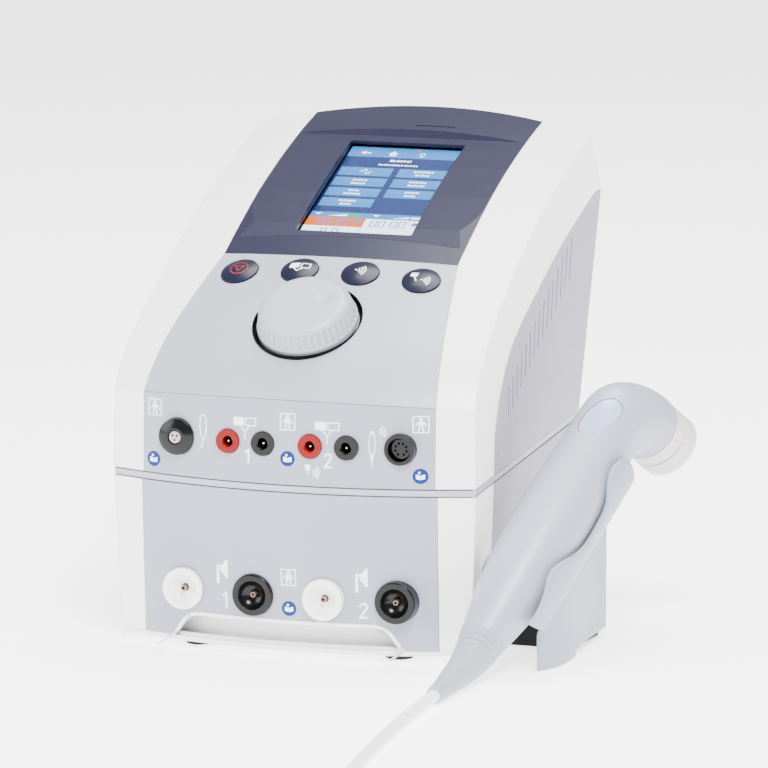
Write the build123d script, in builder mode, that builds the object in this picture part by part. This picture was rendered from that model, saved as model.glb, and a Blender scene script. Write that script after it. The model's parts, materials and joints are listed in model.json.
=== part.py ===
from build123d import *
import os
from math import atan2, cos, degrees, pi, radians, sin, sqrt, tan

os.makedirs("parts", exist_ok=True)

# Combined electrotherapy and ultrasound console, standing on a vacuum module, with its
# ultrasound applicator lying in a holder on the right. Millimetres, +X to the holder,
# +Y to the rear, +Z up. The origin is on the table, midway between the four feet.

# ---------------------------------------------------------------- driving dimensions
SKIN = 3.0  # wall thickness of the mouldings
FRONT_RADIUS = 330.0  # the front faces bulge forward, seen from above
FRONT_Y = -161.0  # foremost point of the console, in the middle of the front
REAR_Y = 165.0
CORNER_Y = -143.0  # where the front meets the sides
HALF_WIDTH = 125.0  # at the front corners, at the seam
SEAM_Z = 116.0  # underside of the console
MODULE_TOP = 110.5
MODULE_LOW = 8.6  # lower edge of the module's walls
BASE_LOW = 5.5  # underside of the module's base
SIDE_TAPER = 0.0763  # each side closes in towards the rear, mm per mm, at the seam
TOP_TAPER = 0.0097  # and at the top of the console
TOP_HALF_WIDTH = 122.0
TOP_Z = 310.0  # height at which TOP_HALF_WIDTH holds
RETURN_DEPTH = 56.0  # depth of the white side of the front frame
PANEL_HALF = 101.3  # half width of the grey front panels
BEZEL_HALF = 81.4  # half width of the panels beside the display
FINE_GAP = 0.15  # shadow line between neighbouring mouldings

# Mid-plane profile of the console's front and top, from the seam up to the top edge:
# y, z, then how much of the front's bow moves it forward and how much lowers its sides.
LEVELS = [
    (-161.0, 116.0, 1.0, 0.0),
    (-159.8, 170.9, 1.0, 0.172),
    (-134.5, 196.4, 0.66, 0.26),
    (-98.1, 221.4, 0.36, 0.39),
    (-44.0, 250.1, 0.0, 0.455),
    (25.3, 284.7, 0.0, 0.455),
    (104.5, 313.1, 0.0, 0.455),
    (148.0, 324.0, -0.81, 0.60),
]
REAR_LEVELS = [(161.0, 300.0, -0.55, 0.50), (171.0, 272.0, -0.25, 0.20), (165.0, 116.0, -0.25, 0.0)]
CREASE_SLOPE = -0.172  # the crease between strip and deck lies in a plane of this slope
STATIONS = [-132, -99, -66, -33, 0, 33, 66, 99, 132]

DECK_ANGLE = 31.0  # the deck's slope under the knob
KNOB_Y, KNOB_Z = -108.5, 214.6
KNOB_RADIUS = 34.0
WELL_RADIUS = 36.5
WELL_DEPTH = 5.0
KNOB_HEIGHT = 17.0
SHAFT_RADIUS = 3.0
BUSH_RADIUS = 4.5

BUTTON_XS = (-63.0, -21.0, 21.0, 63.0)
BUTTON_NAMES = ("stop_button", "pads_button", "waves_button", "combined_button")
BUTTON_Y, BUTTON_Z = -64.0, 239.9
BUTTON_ANGLE = 28.5
BUTTON_RADIUS = 12.6
BUTTON_TRAVEL = 1.2

SCREEN_Y, SCREEN_Z = 39.5, 280.0  # centre of the display's front
SCREEN_ANGLE = 21.9
SCREEN_SIZE = (81.5, 122.5)
LIP_LOW_Y, LIP_HIGH_Y = -28.0, 99.0  # the bezel's recessed field lies between these
FIELD_DROP = 4.6  # depth of the field below the crown, in the middle

SOCKET_Z = 141.8
NOZZLE_Z = 41.5
NOZZLE_XS = (-70.0, -20.0, 28.0, 75.5)
ARCH_HALF, ARCH_FOOT, ARCH_TOP, ARCH_LOW = 60.0, 78.0, 23.5, 10.6
FOOT_XY = (69.0, 125.0)
FEET = [(x * FOOT_XY[0], y * FOOT_XY[1]) for x in (-1, 1) for y in (-1, 1)] + [(0.0, 0.0)]

HANDLE_AT = (162.0, -90.0, 88.0)  # middle of the applicator's handle, in the cradle
HANDLE_DIR = Vector(0.243, 0.728, 0.641).normalized()
LIFT_DIR = Vector(-0.254, -0.590, 0.766).normalized()  # square out of the cradle
HANDLE_SIDE = HANDLE_DIR.cross(LIFT_DIR)
HEAD_TILT = 75.0  # the treatment face turns this far from the handle's direction

CABLE_RADIUS = 4.0
COIL_CENTRE = (112.0, -602.0)
COIL_RADIUS = 45.0  # middle of the turns
COIL_HALF = 12.0
COIL_HEIGHT = 15.0
CABLE_ROUTE = [
    (133.5, -248.0, 5.7),
    (133.8, -290.0, 4.5),
    (137.5, -350.0, 4.3),
    (145.5, -425.0, 4.3),
    (156.0, -500.0, 4.3),
    (158.0, -562.0, 4.3),
]


# ---------------------------------------------------------------- shared geometry
def bow(x):
    """How far the front falls back from its foremost line at x."""
    return FRONT_RADIUS - sqrt(FRONT_RADIUS**2 - x * x)


def half_width(y, z):
    """Half the body's width at a place on its side."""
    low = HALF_WIDTH - SIDE_TAPER * (y - CORNER_Y)
    if z <= SEAM_Z:
        return low - 3.5 * (SEAM_Z - z) / (SEAM_Z - MODULE_LOW)
    high = TOP_HALF_WIDTH - TOP_TAPER * (y - CORNER_Y)
    return low + (high - low) * (z - SEAM_Z) / (TOP_Z - SEAM_Z)


def moved_in(points, inset):
    """A closed outline of y, z points, each moved square inwards by inset."""
    out = []
    for i, here in enumerate(points):
        back, on = points[i - 1], points[(i + 1) % len(points)]
        turn = []
        for a, b in ((back, here), (here, on)):
            size = sqrt((b[0] - a[0]) ** 2 + (b[1] - a[1]) ** 2)
            turn.append(((b[1] - a[1]) / size, -(b[0] - a[0]) / size))
        mid = (turn[0][0] + turn[1][0], turn[0][1] + turn[1][1])
        scale = inset / (0.5 * (mid[0] ** 2 + mid[1] ** 2))
        out.append((here[0] + mid[0] * scale, here[1] + mid[1] * scale))
    return out


def console_block(inset, drop=0.0):
    """The console's whole form, its surface moved in by inset, its underside lowered by drop."""
    levels = LEVELS + REAR_LEVELS
    outline = moved_in([(y, z) for y, z, _, _ in levels], inset)
    outline[0] = (outline[0][0], SEAM_Z - drop)
    outline[-1] = (outline[-1][0], SEAM_Z - drop)
    with BuildPart() as sides:
        for z in (SEAM_Z - drop - 1, TOP_Z + 20):
            with BuildSketch(Plane.XY.offset(z)):
                with BuildLine():
                    front, rear = half_width(-190, z) - inset, half_width(200, z) - inset
                    Polyline((-front, -190), (front, -190), (rear, 200), (-rear, 200), close=True)
                make_face()
        loft(ruled=True)
    with BuildPart() as block:
        for x in STATIONS:
            b = bow(x)
            at = [(y + f * b, z - c * b) for (y, z), (_, _, f, c) in zip(outline, levels)]
            with BuildSketch(Plane.YZ.offset(x)):
                with BuildLine():
                    Line(at[0], at[1])
                    Spline(*at[1 : len(LEVELS)])
                    Polyline(*at[len(LEVELS) - 1 :], at[0])
                make_face()
        loft()
        add(sides.part, mode=Mode.INTERSECT)
    return block.part


def module_outline(z, inset):
    """Edges of the module's outline at height z."""
    nose = FRONT_Y + 5.0 * (MODULE_TOP - z) / (MODULE_TOP - MODULE_LOW) + inset
    front = half_width(nose + bow(124), z) - inset
    rear = half_width(REAR_Y, z) - inset
    left, right = (-front, nose + bow(front)), (front, nose + bow(front))
    ThreePointArc(left, (0, nose), right)
    Line(right, (rear, REAR_Y - 4 - inset))
    ThreePointArc((rear, REAR_Y - 4 - inset), (0, REAR_Y - inset), (-rear, REAR_Y - 4 - inset))
    Line((-rear, REAR_Y - 4 - inset), left)


def module_block(inset, low, high):
    """A slice of the module's form between two heights, its walls moved in by inset."""
    with BuildPart() as block:
        for z in (low, high):
            with BuildSketch(Plane.XY.offset(z)):
                with BuildLine():
                    module_outline(z, inset)
                make_face()
        loft(ruled=True)
    return block.part


def plan_zone(points, low, high):
    """An upright prism over a closed outline of x, y points."""
    with BuildPart() as zone:
        with BuildSketch(Plane.XY.offset(low)):
            with BuildLine():
                Polyline(*points, close=True)
            make_face()
        extrude(amount=high - low)
    return zone.part


def centre_zone(gap, y_front=-190.0, y_rear=200.0):
    """The band of the console that the grey panels and the bezel fill, seen from above."""
    wide, narrow = PANEL_HALF - gap, BEZEL_HALF - gap
    right = [(wide, y_front), (wide - 1.3, -144.6), (narrow, -44), (narrow, y_rear)]
    return plan_zone(right + [(-x, y) for x, y in reversed(right)], SEAM_Z - 5, 340)


def arc_zone(middle_y, side_y, rear_y):
    """Everything behind an arc across the console, seen from above."""
    with BuildPart() as zone:
        with BuildSketch(Plane.XY.offset(SEAM_Z - 5)):
            with BuildLine():
                ThreePointArc((-BEZEL_HALF - 20, side_y), (0, middle_y), (BEZEL_HALF + 20, side_y))
                Polyline(
                    (BEZEL_HALF + 20, side_y),
                    (BEZEL_HALF + 20, rear_y),
                    (-BEZEL_HALF - 20, rear_y),
                    (-BEZEL_HALF - 20, side_y),
                )
            make_face()
        extrude(amount=240)
    return zone.part


def side_zone(points, spline=None, half=150):
    """A prism along X over a closed outline of y, z points, which may end in a spline."""
    with BuildPart() as zone:
        with BuildSketch(Plane.YZ.offset(-half)):
            with BuildLine():
                Polyline(*points, close=spline is None)
                if spline:
                    Spline(points[-1], *spline, points[0])
            make_face()
        extrude(amount=2 * half)
    return zone.part


def tilted(x, y, z, angle, lean=0.0):
    """A plane on the deck: its normal leans to the front by angle, and sideways by lean."""
    up = Vector(sin(radians(lean)), -sin(radians(angle)), cos(radians(angle))).normalized()
    return Plane(origin=(x, y, z), x_dir=(cos(radians(lean)), 0, -sin(radians(lean))), z_dir=up)


def socket_plane(x, z, radius, proud):
    """The plane of a round fitting's mouth on the front, facing forwards."""
    near = bow(max(0.0, abs(x) - radius))
    nose = FRONT_Y + 0.6 if z > SEAM_Z else FRONT_Y + 3.4
    return Plane(origin=(x, nose + near - proud, z), x_dir=(1, 0, 0), z_dir=(0, -1, 0))


def wall_back(x, z, radius):
    """How far behind that mouth plane the front wall's back is clear of a flange."""
    far = bow(abs(x) + radius)
    near = bow(max(0.0, abs(x) - radius))
    return far - near + SKIN + 1.2


def disc(plane, radius, low, high, mode=Mode.ADD):
    """A round boss or hole square to a plane, between two distances from it."""
    with BuildSketch(plane.offset(low)) as face:
        Circle(radius)
    extrude(face.sketch, amount=high - low, mode=mode)


def slab(plane, wide, tall, low, high, mode=Mode.ADD, corner=0.0, at=(0, 0)):
    """A rectangular boss or hole square to a plane, between two distances from it."""
    with BuildSketch(plane.offset(low)) as face:
        with Locations(at):
            if corner:
                RectangleRounded(wide, tall, corner)
            else:
                Rectangle(wide, tall)
    extrude(face.sketch, amount=high - low, mode=mode)


def cone(plane, low_radius, high_radius, low, high, mode=Mode.ADD):
    """A conical boss or hole square to a plane."""
    with BuildSketch(plane.offset(low)) as first:
        Circle(low_radius)
    with BuildSketch(plane.offset(high)) as last:
        Circle(high_radius)
    loft([first.sketch, last.sketch], mode=mode)


def moved(plane, x, y):
    """The same plane with its origin moved within it."""
    return Plane(origin=plane.from_local_coords((x, y, 0)), x_dir=plane.x_dir, z_dir=plane.z_dir)


def finish(builder, name):
    """Label a sub-part and write its file."""
    builder.part.label = name
    export_step(builder.part, f"parts/{name}.step")


# ---------------------------------------------------------------- console mouldings
console_outer = console_block(0)
console_inner = console_block(SKIN, drop=8)

with BuildPart() as skin:
    add(console_outer)
    add(console_inner, mode=Mode.SUBTRACT)

# the white frame reaches back to a line that runs parallel to the front and the top
BAND_EDGE = [(-76, 162), (-50, 190), (-2, 214), (70, 243), (119, 260)]
front_band = side_zone(
    [(150, 270), (200, 270), (200, 345), (-190, 345), (-190, 100), (-87, 100), (-87, 138)],
    spline=BAND_EDGE,
)
TOP_MIDDLE_Y, TOP_SIDE_Y = 147.9, 135.0  # the bezel's rear edge, at x = 0 and 101.4
top_rear = arc_zone(TOP_MIDDLE_Y, TOP_SIDE_Y, 200)
top_rear_edge = arc_zone(TOP_MIDDLE_Y - FINE_GAP, TOP_SIDE_Y - FINE_GAP, 200)
DECK_REAR_MIDDLE, DECK_REAR_SIDE = -48.7, -41.3
behind_deck = arc_zone(DECK_REAR_MIDDLE, DECK_REAR_SIDE, 200)
behind_deck_edge = arc_zone(DECK_REAR_MIDDLE - FINE_GAP, DECK_REAR_SIDE - FINE_GAP, 200)
panels = centre_zone(FINE_GAP)

with BuildPart() as console_frame:
    add(skin.part)
    add(front_band, mode=Mode.INTERSECT)
    with BuildSketch(Plane.XY.offset(SEAM_Z - 5)):
        with BuildLine():
            wide, narrow = PANEL_HALF, BEZEL_HALF
            rim = TOP_MIDDLE_Y - (TOP_MIDDLE_Y - TOP_SIDE_Y) * (BEZEL_HALF / 101.4) ** 2
            Polyline((-narrow, rim), (-narrow, -44), (1.3 - wide, -144.6), (-wide, -190), (wide, -190))
            Polyline((wide, -190), (wide - 1.3, -144.6), (narrow, -44), (narrow, rim))
            ThreePointArc((narrow, rim), (0, TOP_MIDDLE_Y), (-narrow, rim))
        make_face()
    extrude(amount=240, mode=Mode.SUBTRACT)
finish(console_frame, "console_frame")

REAR_TILT = 2.2
rear_face = Plane(
    origin=(0, 166.05, 140), x_dir=(-1, 0, 0), z_dir=(0, cos(radians(REAR_TILT)), -sin(radians(REAR_TILT)))
)
INLET_AT, SWITCH_AT = (18.0, 2.0), (-26.0, 2.0)  # on the rear face
SLOTS = 15

with BuildPart() as rear_shell:
    add(skin.part)
    add(front_band, mode=Mode.SUBTRACT)
    for i in range(SLOTS):
        y = -50 + 10.7 * i
        tall = 20 + 10 * i / (SLOTS - 1)
        top = 168 + (y + 50) * 0.52
        with BuildSketch(Plane.YZ.offset(-140)):
            with Locations((y, top - tall / 2)):
                Rectangle(2.5, tall)
        extrude(amount=280, mode=Mode.SUBTRACT)
    slab(rear_face, 29, 22, -8, 3, Mode.SUBTRACT, corner=2, at=INLET_AT)
    slab(rear_face, 15.2, 23.2, -8, 3, Mode.SUBTRACT, at=SWITCH_AT)
finish(rear_shell, "rear_shell")

below_crease = side_zone([(-190, 105), (-190, 176.0), (-100, 160.6), (-100, 105)])
crease_cut = side_zone([(-190, 105), (-190, 176.2), (-100, 160.8), (-100, 105)])
SOCKETS = {  # x across the strip, then the radius of the fitting's body
    "sensor_socket": (-73.5, 11.9),
    "stim_socket_1a": (-36.4, 7.9),
    "stim_socket_1b": (-12.0, 7.9),
    "stim_socket_2a": (20.0, 7.9),
    "stim_socket_2b": (44.0, 7.9),
    "applicator_socket": (78.4, 10.1),
}
SOCKET_GAP = 0.15

with BuildPart() as connector_strip:
    add(skin.part)
    add(panels, mode=Mode.INTERSECT)
    add(below_crease, mode=Mode.INTERSECT)
    for x, radius in SOCKETS.values():
        disc(socket_plane(x, SOCKET_Z, radius, 0), radius + SOCKET_GAP, -20, 5, Mode.SUBTRACT)
finish(connector_strip, "connector_strip")


def on_deck(x, y):
    """A plane lying on the console's surface at a place seen from above."""
    hits = console_outer.find_intersection_points(Axis((x, y, 400), (0, 0, -1)))
    at, normal = max(hits, key=lambda hit: hit[0].Z)
    up = normal if normal.Z > 0 else normal * -1
    return Plane(origin=at, x_dir=(1, 0, 0), z_dir=up)


knob_plane = tilted(0, KNOB_Y, on_deck(0, KNOB_Y).origin.Z, DECK_ANGLE)
board_plane = tilted(0, BUTTON_Y, on_deck(0, BUTTON_Y).origin.Z, BUTTON_ANGLE)
button_planes = [on_deck(x, BUTTON_Y) for x in BUTTON_XS]

with BuildPart() as well:
    disc(knob_plane, WELL_RADIUS + 2.5, -WELL_DEPTH - 2.5, 6)
    add(console_outer, mode=Mode.INTERSECT)

with BuildPart() as control_deck:
    add(skin.part)
    add(panels, mode=Mode.INTERSECT)
    add(crease_cut, mode=Mode.SUBTRACT)
    add(behind_deck_edge, mode=Mode.SUBTRACT)
    add(side_zone([(-100, 100), (-30, 100), (-30, 160), (-100, 160)]), mode=Mode.SUBTRACT)
    add(well.part)
    disc(knob_plane, WELL_RADIUS, -WELL_DEPTH, 12, Mode.SUBTRACT)
    disc(knob_plane, BUSH_RADIUS + 0.2, -12, 0, Mode.SUBTRACT)
    for x in (-42, 42):
        disc(moved(board_plane, x, 0), 3, -14, -2.2)
    for plane in button_planes:
        disc(plane, BUTTON_RADIUS + 0.3, -6, 6, Mode.SUBTRACT)
finish(control_deck, "control_deck")

# ---------------------------------------------------------------- display
FIELD = [(-60, 236.6), (-12, 263.2), (25.3, 280.1), (63.3, 294.8), (104.5, 308.5), (152, 322.7)]
screen_plane = tilted(0, SCREEN_Y, SCREEN_Z, SCREEN_ANGLE)
field_above = side_zone([(152, 400), (-60, 400)] + FIELD)
under_field = [(y + 1.1, z - SKIN) for y, z in FIELD]
bezel_above = side_zone([(153.1, 400), (-58.9, 400)] + under_field)
LIP_SHAPE = [(LIP_LOW_Y, 240), (LIP_LOW_Y, 330), (LIP_HIGH_Y + 24, 350), (LIP_HIGH_Y, 300)]
lip_zone = side_zone(LIP_SHAPE + [(LIP_HIGH_Y - 4, 240)])
collar_top = side_zone([(153, 240), (-60, 225)] + [(y, z - 0.4) for y, z in FIELD])

with BuildPart() as recess:
    add(field_above)
    add(lip_zone, mode=Mode.INTERSECT)

with BuildPart() as collar:
    slab(screen_plane, SCREEN_SIZE[0] + 6, SCREEN_SIZE[1] + 6, 0.25, 9)
    add(collar_top, mode=Mode.INTERSECT)

with BuildPart() as display_bezel:
    add(console_outer)
    add(panels, mode=Mode.INTERSECT)
    add(behind_deck, mode=Mode.INTERSECT)
    add(top_rear_edge, mode=Mode.SUBTRACT)
    add(bezel_above, mode=Mode.INTERSECT)
    add(recess.part, mode=Mode.SUBTRACT)
    add(collar.part)
    slab(screen_plane, *SCREEN_SIZE, -20, 20, Mode.SUBTRACT, corner=1.5)
    slab(screen_plane, SCREEN_SIZE[0] + 4.5, SCREEN_SIZE[1] + 4.5, -20, 0.25, Mode.SUBTRACT)
    slab(tilted(14, 112, 315.5, 18), 28, 1.4, -2.5, 8, Mode.SUBTRACT)
finish(display_bezel, "display_bezel")

with BuildPart() as display_glass:
    slab(screen_plane, SCREEN_SIZE[0] + 3.6, SCREEN_SIZE[1] + 3.6, -1.8, 0, corner=1)
finish(display_glass, "display_glass")

with BuildPart() as display_module:
    slab(screen_plane, 94, 134, -9.0, -3.6, corner=1)
    slab(screen_plane, SCREEN_SIZE[0], SCREEN_SIZE[1], -3.7, -1.85)
    slab(screen_plane, 70, 60, -12.0, -8.9, at=(0, -20))
finish(display_module, "display_module")

# ---------------------------------------------------------------- knob and buttons
with BuildPart() as knob:
    disc(knob_plane, KNOB_RADIUS, -WELL_DEPTH + 0.9, 2.0)
    cone(knob_plane, KNOB_RADIUS - 0.8, 30.4, 2.0, KNOB_HEIGHT - 4.0)
    disc(knob_plane, 29, -WELL_DEPTH, 9.0, Mode.SUBTRACT)
    disc(knob_plane, 7, -1.5, 10)
    disc(knob_plane, SHAFT_RADIUS + 0.02, -2, 7.2, Mode.SUBTRACT)
    with Locations(knob_plane.offset(KNOB_HEIGHT - 4.0 + 15.0).location * Pos(0, 16.5, 0)):
        Sphere(17.0, mode=Mode.SUBTRACT)
    top_edge = knob.edges().filter_by(GeomType.CIRCLE).sort_by(Axis(knob_plane.origin, knob_plane.z_dir))
    fillet([e for e in top_edge if abs(e.radius - 30.4) < 0.01], 1.2)
finish(knob, "knob")

with BuildPart() as encoder_body:
    slab(knob_plane, 20, 20, -16.0, -WELL_DEPTH - 2.55, corner=1)
    disc(knob_plane, BUSH_RADIUS, -WELL_DEPTH - 3, -2.0)
    disc(knob_plane, 6.4, -WELL_DEPTH + 0.02, -WELL_DEPTH + 2.0)
    disc(knob_plane, SHAFT_RADIUS + 0.06, -14.6, 0, Mode.SUBTRACT)
finish(encoder_body, "encoder_body")

with BuildPart() as encoder_shaft:
    disc(knob_plane, SHAFT_RADIUS, -14.2, 7.1)
finish(encoder_shaft, "encoder_shaft")

for name, plane in zip(BUTTON_NAMES, button_planes):
    drop = (board_plane.origin - plane.origin).dot(board_plane.z_dir)
    with BuildPart() as button:
        disc(plane, BUTTON_RADIUS, -4.2, 4.4)
        with Locations(plane.offset(3.3 - 38.0).location):
            Sphere(38.0, mode=Mode.INTERSECT)
        disc(plane, BUTTON_RADIUS + 1.5, -5.4, -4.0)
        disc(plane, 3.0, drop - 11.4, -5.3)
    finish(button, name)

with BuildPart() as button_board:
    slab(board_plane, 152, 22, -15.6, -14.0, corner=1)
    for x in BUTTON_XS:
        slab(board_plane, 6, 6, -14.1, -13.2, at=(x, 0))
finish(button_board, "button_board")

# ---------------------------------------------------------------- inside the console
with BuildPart() as console_base:
    add(console_inner)
    with BuildSketch(Plane.XY.offset(SEAM_Z)):
        Rectangle(400, 400)
    extrude(amount=3, mode=Mode.INTERSECT)
    with BuildSketch(Plane.XY.offset(SEAM_Z + 2.5)):
        with GridLocations(150, 150, 2, 2):
            Circle(4)
    extrude(amount=42.5)
    with BuildSketch(Plane.XY.offset(SEAM_Z + 2.5)):
        with Locations((-56, 100), (20, 100), (-56, 0), (20, 0)):
            Circle(3.5)
    extrude(amount=6.5)
    with BuildSketch(Plane.XY.offset(SEAM_Z - 1)):
        with Locations((70, 10)):
            with GridLocations(9, 70, 6, 2):
                SlotOverall(50, 3.5, rotation=90)
    extrude(amount=5, mode=Mode.SUBTRACT)
finish(console_base, "console_base")

board_level = Plane.XY.offset(SEAM_Z + 45)
with BuildPart() as main_board:
    slab(board_level, 166, 166, 0, 1.6, corner=3)
    slab(board_level, 30, 30, 1.5, 4.5, at=(20, 10))
    slab(board_level, 44, 16, 1.5, 11, at=(-40, 50))
    slab(board_level, 24, 60, 1.5, 15, at=(58, -10))
    slab(board_level, 60, 8, 1.5, 9, at=(0, -70))
finish(main_board, "main_board")

supply_level = Plane(origin=(-18, 50, SEAM_Z + 9))
with BuildPart() as power_supply:
    slab(supply_level, 90, 116, 0, 1.6, corner=2)
    slab(supply_level, 36, 34, 1.5, 30, at=(-18, 8))
    slab(supply_level, 6, 80, 1.5, 27, at=(36, 0))
    disc(moved(supply_level, 14, -22), 11, 1.5, 32)
    disc(moved(supply_level, 14, 6), 8, 1.5, 26)
    slab(supply_level, 24, 12, 1.5, 12, at=(10, 44))
finish(power_supply, "power_supply")

# ---------------------------------------------------------------- sockets on the strip
for name, (x, radius) in SOCKETS.items():
    mouth = socket_plane(x, SOCKET_Z, radius, 1.0)
    back = 1.0 + wall_back(x, SOCKET_Z, radius + 1.6)
    with BuildPart() as socket:
        if name.startswith("stim"):
            disc(mouth, radius, -24, 0)
            disc(mouth, radius + 1.4, -24, -back)
            disc(mouth, 3.25, -6, 0, Mode.SUBTRACT)
            disc(mouth, 3.7, -19, -5.8, Mode.SUBTRACT)
            disc(mouth, 1.0, -20, -6.4)
            cone(mouth, 3.25, 4.0, -0.8, 0.01, Mode.SUBTRACT)
        elif name == "sensor_socket":
            disc(mouth, radius, -24, 2.5)
            with Locations(mouth.offset(3.2 - 26.0).location):
                Sphere(26.0, mode=Mode.INTERSECT)
            disc(mouth, radius, -22, -5)
            disc(mouth, radius + 1.4, -22, -back)
            disc(mouth, 4.6, -3, 4, Mode.SUBTRACT)
            disc(mouth, 5.2, -12, -2.2, Mode.SUBTRACT)
            disc(mouth, 4.0, -13, -2.8)
            for turn in (-50, 0, 50):
                spot = moved(mouth, 2.4 * sin(radians(turn)), -2.4 * cos(radians(turn)))
                disc(spot, 0.6, -8, -2, Mode.SUBTRACT)
        else:
            disc(mouth, radius, -24, 0)
            disc(mouth, radius + 1.4, -24, -back)
            disc(mouth, 7.6, -4, 1, Mode.SUBTRACT)
            disc(mouth, 8.1, -12, -3.6, Mode.SUBTRACT)
            disc(mouth, 6.5, -13, -4.2)
            for i in range(8):
                turn = 30 + 300 * i / 7
                spot = moved(mouth, 3.9 * sin(radians(turn)), -3.9 * cos(radians(turn)))
                disc(spot, 0.7, -9, -3, Mode.SUBTRACT)
    finish(socket, name)

# ---------------------------------------------------------------- module mouldings
with BuildPart() as seam_gasket:
    add(module_block(0.6, MODULE_TOP, SEAM_Z))
    add(module_block(7.0, MODULE_TOP - 1, SEAM_Z + 1), mode=Mode.SUBTRACT)
finish(seam_gasket, "seam_gasket")

module_outer = module_block(0, MODULE_LOW, MODULE_TOP)
module_inner = module_block(SKIN, MODULE_LOW, MODULE_TOP)
with BuildPart() as module_skin:
    add(module_outer)
    add(module_inner, mode=Mode.SUBTRACT)

NOZZLE_RADIUS = 13.7
with BuildPart() as module_front_panel:
    add(module_skin.part)
    with BuildSketch(Plane.XY):
        with Locations((0, -150)):
            Rectangle(2 * (PANEL_HALF - 0.3), 100)
    extrude(amount=120, mode=Mode.INTERSECT)
    with BuildSketch(Plane.XZ.offset(100)):
        with BuildLine():
            right = [(ARCH_FOOT, MODULE_LOW - 1), (ARCH_FOOT, MODULE_LOW), (ARCH_FOOT - 9, 19)]
            right.append((ARCH_HALF, ARCH_TOP))
            Polyline(*right, *[(-x, z) for x, z in reversed(right)], close=True)
        make_face()
    extrude(amount=90, mode=Mode.SUBTRACT)
    for x in NOZZLE_XS:
        mouth = socket_plane(x, NOZZLE_Z, NOZZLE_RADIUS, 0)
        disc(mouth, NOZZLE_RADIUS + 0.15, -20, 5, Mode.SUBTRACT)
finish(module_front_panel, "module_front_panel")

for name, side in (("module_cheek_left", -1), ("module_cheek_right", 1)):
    with BuildPart() as cheek:
        add(module_skin.part)
        with BuildSketch(Plane.XY):
            with Locations((side * (PANEL_HALF + 50), CORNER_Y - 7 + 13)):
                Rectangle(100, 100)
        extrude(amount=120, mode=Mode.INTERSECT)
    finish(cheek, name)

BOSS_XY = [(-108.5, -72), (108.5, -72), (-93.0, 130), (93.0, 130)]
with BuildPart() as module_shell:
    add(module_outer)
    add(module_block(SKIN, MODULE_LOW, MODULE_TOP - 3), mode=Mode.SUBTRACT)
    with BuildSketch(Plane.XY):
        with Locations((0, 63)):
            Rectangle(400, 300)
    extrude(amount=120, mode=Mode.INTERSECT)
    add(module_block(SKIN + 0.1, MODULE_TOP - 3, MODULE_TOP))
    with BuildSketch(Plane.XY.offset(MODULE_LOW)):
        with Locations(*BOSS_XY):
            Circle(5)
    extrude(amount=MODULE_TOP - MODULE_LOW - 2)
    with BuildSketch(Plane.XY.offset(MODULE_LOW - 1)):
        with Locations(*BOSS_XY):
            Circle(1.9)
    extrude(amount=14, mode=Mode.SUBTRACT)
finish(module_shell, "module_shell")

with BuildPart() as module_base:
    add(module_block(0, BASE_LOW, MODULE_LOW))
    add(module_block(SKIN + 2.4, BASE_LOW + 3, MODULE_LOW + 1), mode=Mode.SUBTRACT)
    add(module_block(SKIN + 0.15, MODULE_LOW - 1, ARCH_LOW))
    add(module_block(SKIN + 2.4, BASE_LOW + 3, ARCH_LOW + 1), mode=Mode.SUBTRACT)
    with BuildSketch(Plane.XY.offset(BASE_LOW + 2)):
        with Locations(*BOSS_XY):
            Circle(6)
    extrude(amount=MODULE_LOW - BASE_LOW - 2)
    with BuildSketch(Plane.XY.offset(MODULE_LOW)):
        with Locations(*BOSS_XY):
            Circle(7)
    extrude(amount=5, mode=Mode.SUBTRACT)
    with BuildSketch(Plane.XY):
        with Locations(*BOSS_XY):
            Circle(2.1)
        with Locations(*FEET):
            Circle(2.6)
    extrude(amount=12, mode=Mode.SUBTRACT)
    with BuildSketch(Plane.XY):
        with Locations(*BOSS_XY):
            Circle(4)
    extrude(amount=BASE_LOW + 2.0, mode=Mode.SUBTRACT)
    with BuildSketch(Plane.XY):
        with Locations((0, 110)):
            with GridLocations(12, 10, 8, 1):
                SlotOverall(30, 4, rotation=90)
    extrude(amount=12, mode=Mode.SUBTRACT)
finish(module_base, "module_base")

with BuildPart() as grip_recess:
    add(module_block(SKIN + 0.15, ARCH_TOP + 0.9, ARCH_TOP + 2.4))
    add(module_block(13, BASE_LOW + 3, ARCH_TOP + 2.4))
    add(module_block(15, BASE_LOW, ARCH_TOP + 4), mode=Mode.SUBTRACT)
    with BuildSketch(Plane.XY):
        with Locations((0, -150)):
            Rectangle(2 * 84, 80)
    extrude(amount=60, mode=Mode.INTERSECT)
finish(grip_recess, "grip_recess")

with BuildPart() as rubber_feet:
    with BuildSketch(Plane.XY):
        with Locations(*FEET):
            Circle(9)
    extrude(amount=BASE_LOW)
    with BuildSketch(Plane.XY.offset(BASE_LOW)):
        with Locations(*FEET):
            Circle(2.5)
    extrude(amount=3)
finish(rubber_feet, "rubber_feet")

with BuildPart() as case_screws:
    with BuildSketch(Plane.XY.offset(BASE_LOW + 0.2)):
        with Locations(*BOSS_XY):
            Circle(3.7)
    extrude(amount=1.78)
    with BuildSketch(Plane.XY.offset(BASE_LOW + 1.9)):
        with Locations(*BOSS_XY):
            Circle(1.85)
    extrude(amount=13)
finish(case_screws, "case_screws")

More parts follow.
